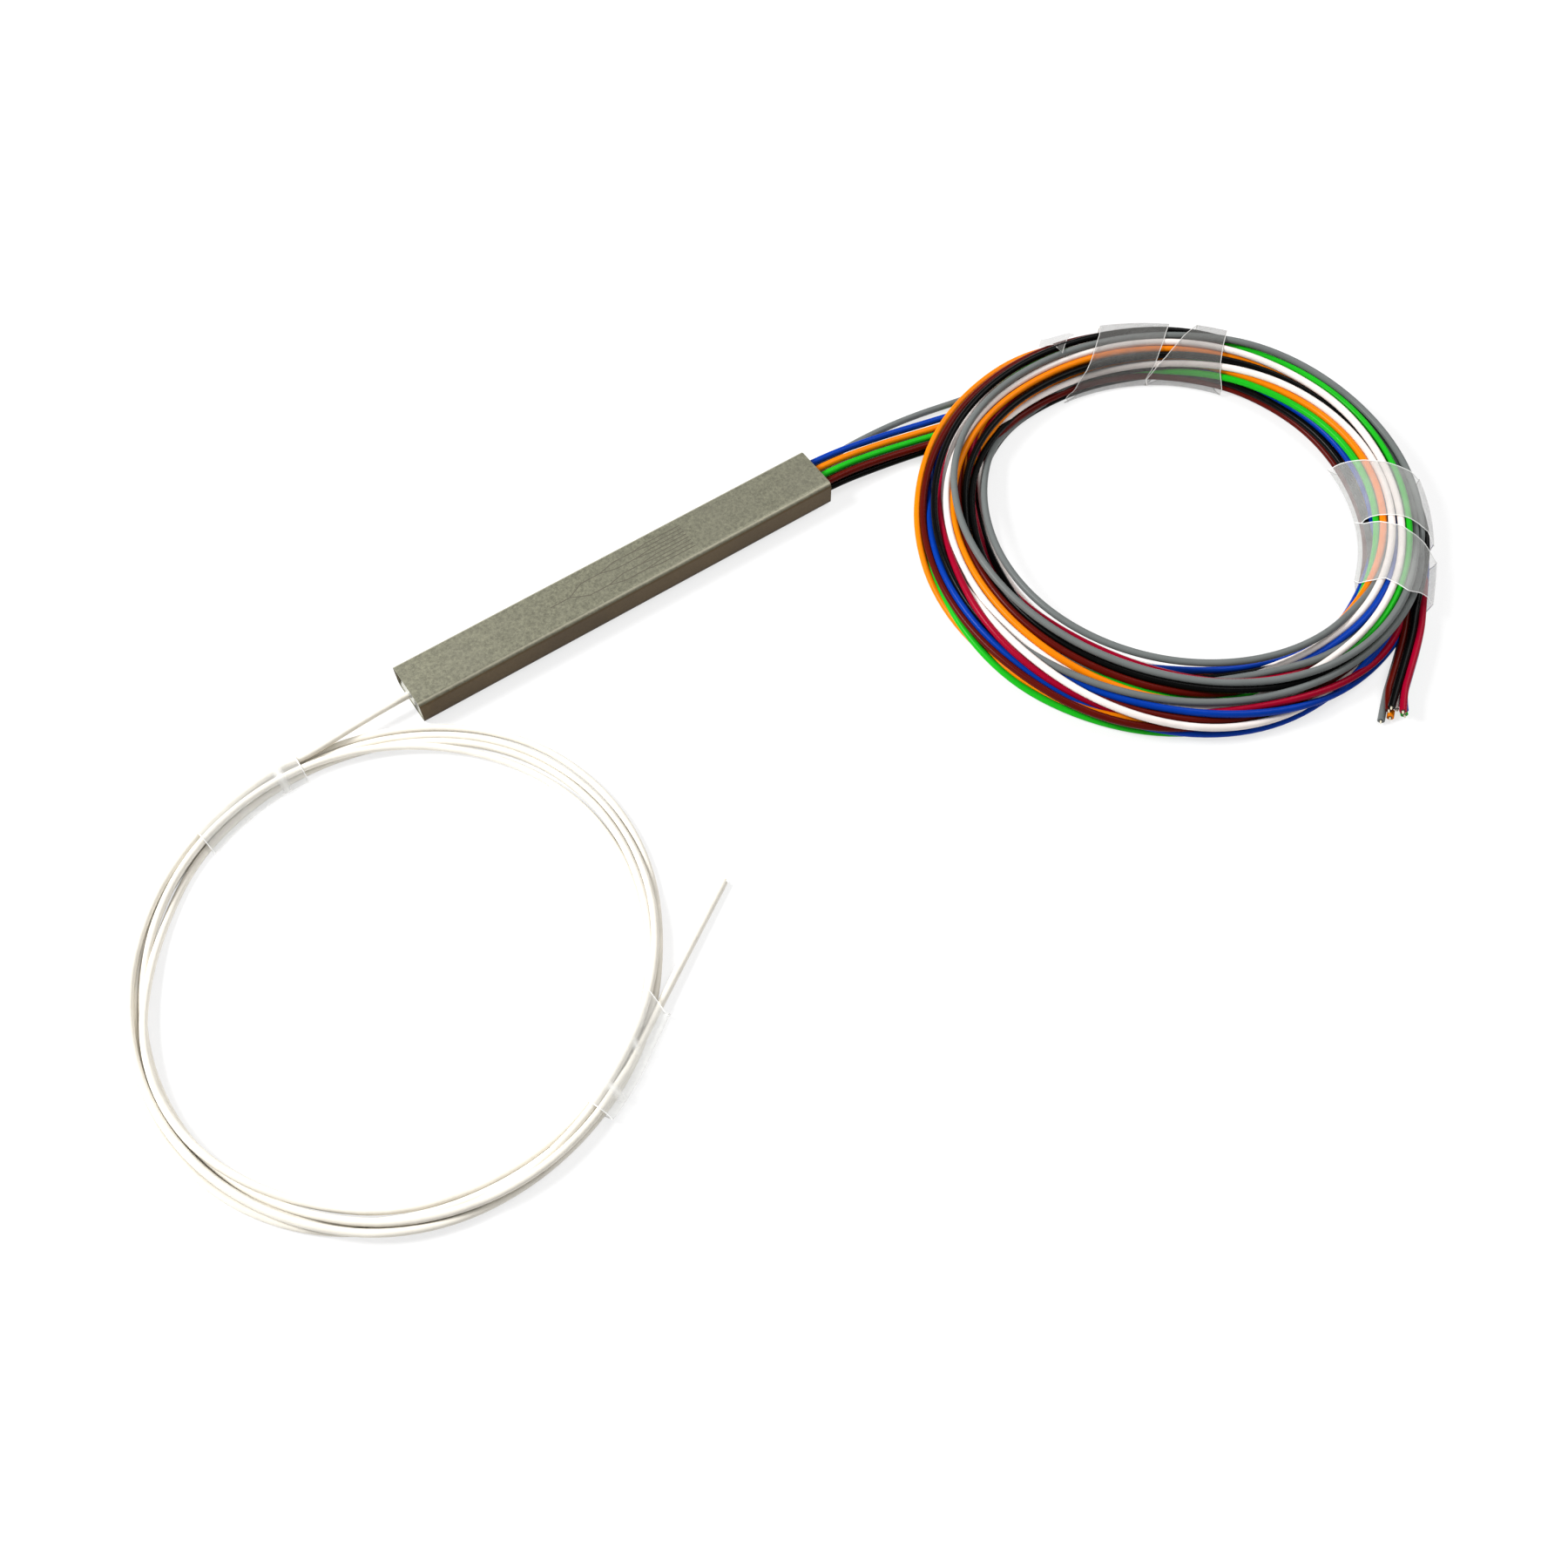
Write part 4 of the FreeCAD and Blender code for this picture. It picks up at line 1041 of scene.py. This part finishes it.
def film_loop(places, inside, outside, gap, count):
    """A closed loop of film round the tubes of one section: points (radius, height).

    It runs from the inner fold, under the tubes to the outer fold and back over them.
    """
    low, high = min(p[0] for p in places), max(p[0] for p in places)
    folds = [(low - TUBE / 2 - inside, FOLD_HEIGHT, FOLD), (high + TUBE / 2 + outside[0], outside[1], FOLD)]
    around = [(r, z, TUBE / 2 + gap) for r, z in places] + folds
    loop = []
    for t in np.linspace(0, 2 * math.pi, LOOP_RAYS, endpoint=False):
        n = (-math.cos(t), -math.sin(t))
        r, z, q = max(around, key=lambda p: p[0] * n[0] + p[1] * n[1] + p[2])
        loop.append((r + q * n[0], max(FILM_LOW, z + q * n[1])))
    loop = np.array(loop)
    closed = np.vstack([loop, loop[:1]])
    run = np.concatenate([[0], np.cumsum(np.linalg.norm(np.diff(closed, axis=0), axis=1))])
    want = np.linspace(0, run[-1], count, endpoint=False)
    return np.stack([np.interp(want, run, closed[:, 0]), np.interp(want, run, closed[:, 1])], axis=1)


CUT_ROUNDS, CUT_PULL = 14, 0.7  # rounds in which a thread's end is found, and the share of the way in each


def cut_angle(centre, edge, radius_at, height_at, seen):
    """The angle at which one thread of the film meets a cut edge.

    The edge may be given as it looks from the eye: then seen is true.
    """
    radii, angles = [p[0] for p in edge], [p[1] for p in edge]
    a = float(np.mean(angles))
    for again in range(CUT_ROUNDS):
        r, look = radius_at(a), a
        if seen:
            r, look = seems(centre, r, a, height_at(a, r))
        a += CUT_PULL * (float(np.interp(r, radii, angles)) - look)
    return a


def walled(piece, thickness):
    """Gives a sheet its thickness."""
    solid = piece.modifiers.new("wall", "SOLIDIFY")
    solid.thickness, solid.offset = thickness, 1.0
    return piece


RIM = 0.14  # width of the painted highlight along a cut edge, in millimetres
RIM_ROWS = (0.0, 0.05, 0.1, 0.16, 0.3)  # where the rows beside a cut edge lie, in millimetres
CREASE = 0.25  # half width of a crease
CREASE_IN, CREASE_RUN = 24, 9  # a crease runs from this radius outwards, over this length
SECTIONS = 49  # sections of the tubes that a band is laid round
EVEN_ROUNDS = 6  # rounds in which the band is evened out between them
MIDDLE_ROWS = 18  # rows of a band between those beside its cut edges


def film_band(name, centre, cords, left, right, inside, outside, material, thickness,
              creases=(), around=84, seen=True):
    """One band of film. left and right are its cut edges: (radius, angle) from the inside to the outside.

    A crease is given by its angles at its inner and its outer end.
    """
    spare = 8 if seen else 1
    low = min(a for r, a in left + right) - spare
    high = max(a for r, a in left + right) + spare
    sections = tube_sections(centre, cords, low, high, SECTIONS)
    loops = np.array([film_loop(found, inside, outside, FILM_GAP, around) for angle, found in sections])
    angles = np.array([angle for angle, found in sections])
    for again in range(EVEN_ROUNDS):
        loops[1:-1] += 0.5 * ((loops[:-2] + loops[2:]) / 2 - loops[1:-1])
    fold = int(np.argmax(loops[len(loops) // 2][:, 0]))
    over = np.concatenate([loops[:, fold:], loops[:, :1]], axis=1)

    def height_over(a, r):
        """The height of the film's upper side at a radius."""
        k = int(np.clip(np.searchsorted(angles, a), 0, len(angles) - 1))
        line = over[k][np.argsort(over[k][:, 0])]
        return float(np.interp(r, line[:, 0], line[:, 1]))

    points, rims, lines = [], [], []
    for j in range(around):
        radius_at = lambda a: float(np.interp(a, angles, loops[:, j, 0]))
        a0 = cut_angle(centre, left, radius_at, height_over, seen)
        a1 = cut_angle(centre, right, radius_at, height_over, seen)
        run = abs(a1 - a0) * math.radians(1) * radius_at((a0 + a1) / 2)
        close = [min(d / run, d / 2) for d in RIM_ROWS]
        middle = list(np.linspace(close[-1], 1 - close[-1], MIDDLE_ROWS))
        row = close[:-1] + middle + [1 - u for u in reversed(close[:-1])]
        wide = len(row)
        for u in row:
            a = a0 + (a1 - a0) * u
            r, z = radius_at(a), float(np.interp(a, angles, loops[:, j, 1]))
            points.append(on_circle(centre, r, a, z) * MM)
            rims.append(max(0.0, 1 - (min(u, 1 - u) * run / RIM) ** 2))
            past = [a - (c0 + (c1 - c0) * (r - CREASE_IN) / CREASE_RUN) for c0, c1 in creases]
            lines.append(max([0.0] + [1 - abs(p) * math.radians(1) * r / CREASE for p in past]))
    starts = [(j * wide, ((j + 1) % around) * wide) for j in range(around)]
    faces = [(a + i, a + i + 1, b + i + 1, b + i) for a, b in starts for i in range(wide - 1)]
    piece = mesh_piece(name, points, faces, material)
    outward(piece)
    mark_film(piece, rims, lines)
    return walled(piece, thickness)


def mark_film(piece, rims, lines):
    """Gives a film its two attributes: how near a cut edge and how near a crease each point lies."""
    for title, values in (("rim", rims), ("crease", lines)):
        attribute = piece.data.attributes.new(title, "FLOAT", "POINT")
        attribute.data.foreach_set("value", np.array(values, np.float32))


# The loose corner's two lines: share of its length, angle, radius
FLAP_OUTER = [(0.0, 73.5, 32.0), (0.15, 74.5, 32.5), (0.6, 80.0, 32.6), (0.85, 82.0, 32.8), (1.0, 83.5, 31.9)]
FLAP_INNER = [
    (0.0, 74.0, 31.85), (0.12, 75.3, 31.8), (0.55, 79.2, 29.4), (0.62, 79.6, 31.3), (1.0, 83.3, 31.75),
]
FLAP_RADII, FLAP_HEIGHTS = (29.4, 30.5, 31.3, 32.8), (6.0, 5.75, 5.0, 3.8)  # how high it lies
FLAP_RIM = (0.12, 0.85)  # its painted highlight along the edge lies between these shares of its length


def on_line(line, share):
    """The angle and radius at a share of a line's length."""
    return np.array([np.interp(share, [p[0] for p in line], [p[k] for p in line]) for k in (1, 2)])


def film_flap(name, centre, material, thickness):
    """The loose corner of film that lies over the coil's far side: a small sheet between two lines."""
    points, rims, cross = [], [], (0.0, 0.25, 0.5, 0.7, 0.85, 0.93, 0.97, 1.0)
    along = np.linspace(0, 1, 41)
    for u in along:
        outer, inner = on_line(FLAP_OUTER, u), on_line(FLAP_INNER, u)
        for v in cross:
            angle, radius = outer + (inner - outer) * v
            height = np.interp(radius, FLAP_RADII, FLAP_HEIGHTS)
            points.append(tuple(seen_at(centre, radius, angle, height) * MM))
            near = (1 - v) * abs(inner[1] - outer[1])
            rims.append(max(0.0, 1 - (near / RIM) ** 2) if FLAP_RIM[0] < u < FLAP_RIM[1] else 0.0)
    n = len(cross)
    faces = [(i * n + k, (i + 1) * n + k, (i + 1) * n + k + 1, i * n + k + 1)
             for i in range(len(along) - 1) for k in range(n - 1)]
    piece = mesh_piece(name, points, faces, material)
    if piece.data.polygons[0].normal.z < 0:
        piece.data.flip_normals()
    mark_film(piece, rims, [0.0] * len(points))
    return walled(piece, thickness)


# The output coil's bands: left and right cut edge, and how far the outer fold stands off the tubes.
# An edge is (radius, angle) from the inside to the outside, as it looks from the eye.
TOP_BANDS = [
    ([(22, 31), (24, 32.7), (25, 33.5), (27, 34.4), (30, 35.1), (33, 35.3)],
     [(22, 58), (23, 56), (24.8, 53), (26.4, 50.5), (28, 48.5), (29.3, 47), (30.8, 45.5), (32, 44),
         (33.2, 42.5)], 1.0),
    ([(22, 58), (24, 55), (25.3, 53.6), (27, 52.3), (28.5, 51.3), (30, 50.5), (31.5, 49.8), (32.6, 49.2)],
     [(22.3, 89), (22.8, 84), (24, 80), (25.3, 76), (26.5, 73.5), (27.8, 71.5), (28.9, 70), (30, 68.7),
         (31, 67.5), (32.3, 66.5)], 0.6),
]
SIDE_BANDS = [
    ([(24.9, 295), (25.5, 296.5), (26.6, 298.5), (27.5, 300), (29, 299.6), (30.6, 298.6), (32, 299.2),
        (33, 298.7), (33.5, 297.5)],
     [(24.1, 318.2), (25, 319), (26, 319.5), (27, 319.3), (28.9, 318.6), (29.5, 317.5), (30.5, 316),
         (31.5, 314), (32.4, 311), (33, 309)], 0.25),
    ([(23.8, 318), (24.2, 319.5), (25, 320.8), (26, 321.6), (27, 321.9), (28, 322), (29, 321.8),
        (30, 321), (31, 319.5), (32, 317.5), (32.8, 312.5)],
     [(22.2, 341.5), (23, 342.2), (23.8, 342.6), (25, 342.6), (26, 342.3), (27, 341.8), (28, 341),
         (29.3, 340), (30, 339), (31, 337.5), (32.1, 335.5), (32.5, 333)], -0.1),
]
OUT_FOLD = (0.35, 2.4)  # how far the inner fold stands off the tubes, and the outer fold's height


class SPLITTER_OT_output_film(bpy.types.Operator):
    """Clear film wraps round the output coil"""
    bl_idname = "splitter.output_film"
    bl_label = "Output film"

    def execute(self, context):
        s = context.scene.splitter_film
        cords = [bpy.data.objects["output_tube_" + name] for name in COLOURS]
        # One film in two tones: the top wrap's darker tone is painted shade, the side wrap's paler one a
        # painted reflection of the light; the edge tones are painted highlights.
        top = clear_film("clear_film_top", tuple(s.top_tone), s.veil, linear((222, 220, 217)))
        side = clear_film("clear_film_side", tuple(s.side_tone), s.veil, linear((246, 246, 244)))
        pieces = []
        wraps = (("output_wrap_top", TOP_BANDS, top), ("output_wrap_side", SIDE_BANDS, side))
        for node, bands, material in wraps:
            for k, (left, right, outside) in enumerate(bands):
                name = f"{node}_film_{k + 1}"
                piece = film_band(name, OUT_CENTRE, cords, left, right, OUT_FOLD[0], (outside, OUT_FOLD[1]),
                                  material, s.thickness)
                pieces.append((node, piece))
        pieces.append(("output_wrap_top", film_flap("output_wrap_top_flap", OUT_CENTRE, top, s.thickness)))
        for node, piece in pieces:
            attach(piece, "root")
            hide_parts(node)
        return {"FINISHED"}


# The input coil's bands: node, left and right cut edge, creases
IN_WRAPS = [
    ("input_wrap_upper", [(26, 86), (31, 86.5)], [(26, 115.5), (29, 113.8), (31, 113)],
     [(92, 91), (104, 100)]),
    ("input_wrap_lower", [(25, 288.5), (30, 289)], [(25, 318.5), (28, 317), (30, 313.5)],
     [(296, 292), (306, 303)]),
]
IN_FOLDS = (0.6, (0.9, 1.0))  # how far the folds stand off the tubes, and the outer fold's height


class SPLITTER_OT_input_film(bpy.types.Operator):
    """Clear film wraps round the input coil"""
    bl_idname = "splitter.input_film"
    bl_label = "Input film"

    def execute(self, context):
        s = context.scene.splitter_film
        cords = [bpy.data.objects["input_tube"]]
        # The second tone is the painted highlight on the cut edges and creases.
        tones = linear((242, 242, 239)), linear((250, 250, 248))
        material = clear_film("clear_film_input", tones[0], s.veil * 0.8, tones[1])
        for node, left, right, creases in IN_WRAPS:
            piece = film_band(node + "_film", IN_CENTRE, cords, left, right, *IN_FOLDS, material, s.thickness,
                              creases, around=56, seen=False)
            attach(piece, "root")
            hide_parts(node)
        return {"FINISHED"}


TIP_SINK = 0.01  # how far the tip pieces start inside a cut end, in millimetres


class SPLITTER_OT_tips(bpy.types.Operator):
    """Bores and fibre ends at the cut ends of the tubes"""
    bl_idname = "splitter.tips"
    bl_label = "Cut ends"

    def execute(self, context):
        places, ways = [], []
        for route in list(TAILS.values()) + [INPUT_TAIL]:
            end, before = np.array(route[-1]), np.array(route[-2])
            way = (end - before) / np.linalg.norm(end - before)
            places.append((end - way * TIP_SINK) * MM)
            ways.append(way)
        # The bore is a thin dark disc: painted shade inside the open end of each tube.
        bore = {"Top radius": 0.24 * MM, "Foot radius": 0.24 * MM, "Height": 0.03 * MM}
        fibre = {"Top radius": 0.1 * MM, "Foot radius": 0.125 * MM, "Height": 0.35 * MM}
        kinds = (("tube_bores", bore, resin("bore_shade", linear((26, 24, 22))), "tube_black"),
                 ("fibre_ends", fibre, fibre_coating(), "fibre_coating"))
        for name, sizes, material, slot in kinds:
            piece = pegs(name, name.replace("_", " ").capitalize(), places, ways, sizes, material)
            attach(piece, "root")
        return {"FINISHED"}


COLLAR_SINK = 0.1  # how far a collar reaches into its seal, in millimetres
COLLAR_OUT = 0.16  # how far it stands out of it
COLLAR_TOP, COLLAR_FOOT = 0.02, 0.14  # how far it stands off its tube, at its top and at its foot


class SPLITTER_OT_seal_collars(bpy.types.Operator):
    """Low collars of adhesive that creep up the tubes at the seals"""
    bl_idname = "splitter.seal_collars"
    bl_label = "Seal collars"

    def execute(self, context):
        ends = (("output_seal_collars", "output_end_seal", LEADS.values(), 1.0),
                ("input_seal_collar", "input_end_seal", [INPUT_LEAD], -1.0))
        for name, node, routes, side in ends:
            low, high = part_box(node)
            face = (high[0] if side > 0 else low[0]) - side * COLLAR_SINK * MM
            places = [(face, route[0][1] * MM, route[0][2] * MM) for route in routes]
            sizes = {
                "Top radius": (TUBE / 2 + COLLAR_TOP) * MM,
                "Foot radius": (TUBE / 2 + COLLAR_FOOT) * MM,
                "Height": (COLLAR_SINK + COLLAR_OUT) * MM,
            }
            piece = pegs(name, "Seal collars", places, [(side, 0, 0)] * len(places), sizes, seal_resin())
            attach(piece, "root")
        return {"FINISHED"}


class SPLITTER_OT_mark(bpy.types.Operator):
    """A plain mark of one line that parts into eight, on the top of the housing"""
    bl_idname = "splitter.mark"
    bl_label = "Branching mark"

    def execute(self, context):
        points, edges = branching_lines(20 * MM, 4.4 * MM, 3)
        top = HOUSING_TOP + 0.002 * MM
        sizes = {"Half width": 0.07 * MM, "Flatness": 0.12}
        stain = resin("mark_stain", linear((84, 80, 66)), 0.5)
        piece = line_mark("branching_mark", points, edges, top, sizes, stain)
        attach(piece, "root")
        return {"FINISHED"}


class SPLITTER_OT_housing(bpy.types.Operator):
    """Finishes of the steel housing, the seals and everything inside it"""
    bl_idname = "splitter.housing"
    bl_label = "Housing finishes"

    def execute(self, context):
        finishes = {
            "steel_housing": steel("drawn_steel"),
            "input_end_seal": seal_resin(),
            "output_end_seal": seal_resin(),
            "support_bed": resin("bed_resin", linear((214, 210, 196)), 0.5),
            "waveguide_chip": glass("chip_glass", linear((206, 220, 226))),
            "inner_input_fibre": fibre_coating(),
            "inner_output_fibres": fibre_coating(),
        }
        for name in ("chip_cover_input", "chip_cover_output", "input_fibre_block", "input_block_lid",
                     "output_fibre_block", "output_block_lid"):
            finishes[name] = glass("block_glass", linear((190, 208, 214)), 0.18)
        for name, material in finishes.items():
            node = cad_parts[name]
            node.data.materials.clear()
            node.data.materials.append(material)
        return {"FINISHED"}


SETTINGS = (SplitterTubes, SplitterFilm, SplitterStage)
OPERATORS = (
    SPLITTER_OT_stage, SPLITTER_OT_output_tubes, SPLITTER_OT_input_tube, SPLITTER_OT_output_film,
    SPLITTER_OT_input_film, SPLITTER_OT_tips, SPLITTER_OT_seal_collars, SPLITTER_OT_mark, SPLITTER_OT_housing,
)


class SPLITTER_PT_panel(bpy.types.Panel):
    """Steps that dress the splitter"""
    bl_idname = "SPLITTER_PT_panel"
    bl_label = "Splitter"
    bl_space_type = "VIEW_3D"
    bl_region_type = "UI"
    bl_category = "Splitter"

    def draw(self, context):
        for group in ("splitter_tubes", "splitter_film", "splitter_stage"):
            settings = getattr(context.scene, group)
            for key in settings.bl_rna.properties.keys():
                if key not in ("rna_type", "name"):
                    self.layout.prop(settings, key)
        for operator in OPERATORS:
            self.layout.operator(operator.bl_idname)


CLASSES = SETTINGS + OPERATORS + (SPLITTER_PT_panel,)


def register():
    """Adds the settings, the steps and the panel."""
    for c in CLASSES:
        bpy.utils.register_class(c)
    bpy.types.Scene.splitter_tubes = PointerProperty(type=SplitterTubes)
    bpy.types.Scene.splitter_film = PointerProperty(type=SplitterFilm)
    bpy.types.Scene.splitter_stage = PointerProperty(type=SplitterStage)


def unregister():
    """Takes them away again."""
    for name in ("splitter_tubes", "splitter_film", "splitter_stage"):
        delattr(bpy.types.Scene, name)
    for c in reversed(CLASSES):
        bpy.utils.unregister_class(c)


def declare_cords():
    """Goes through the output tubes' first lead points and sets nothing."""
    for name in COLOURS:
        x, y, z = LEADS[name][0]


def main():
    """Builds everything in order."""
    register()
    bpy.ops.splitter.stage()
    bpy.ops.splitter.output_tubes()
    bpy.ops.splitter.input_tube()
    bpy.ops.splitter.output_film()
    bpy.ops.splitter.input_film()
    bpy.ops.splitter.tips()
    bpy.ops.splitter.seal_collars()
    bpy.ops.splitter.mark()
    bpy.ops.splitter.housing()
    declare_cords()


if __name__ == "__main__":
    main()
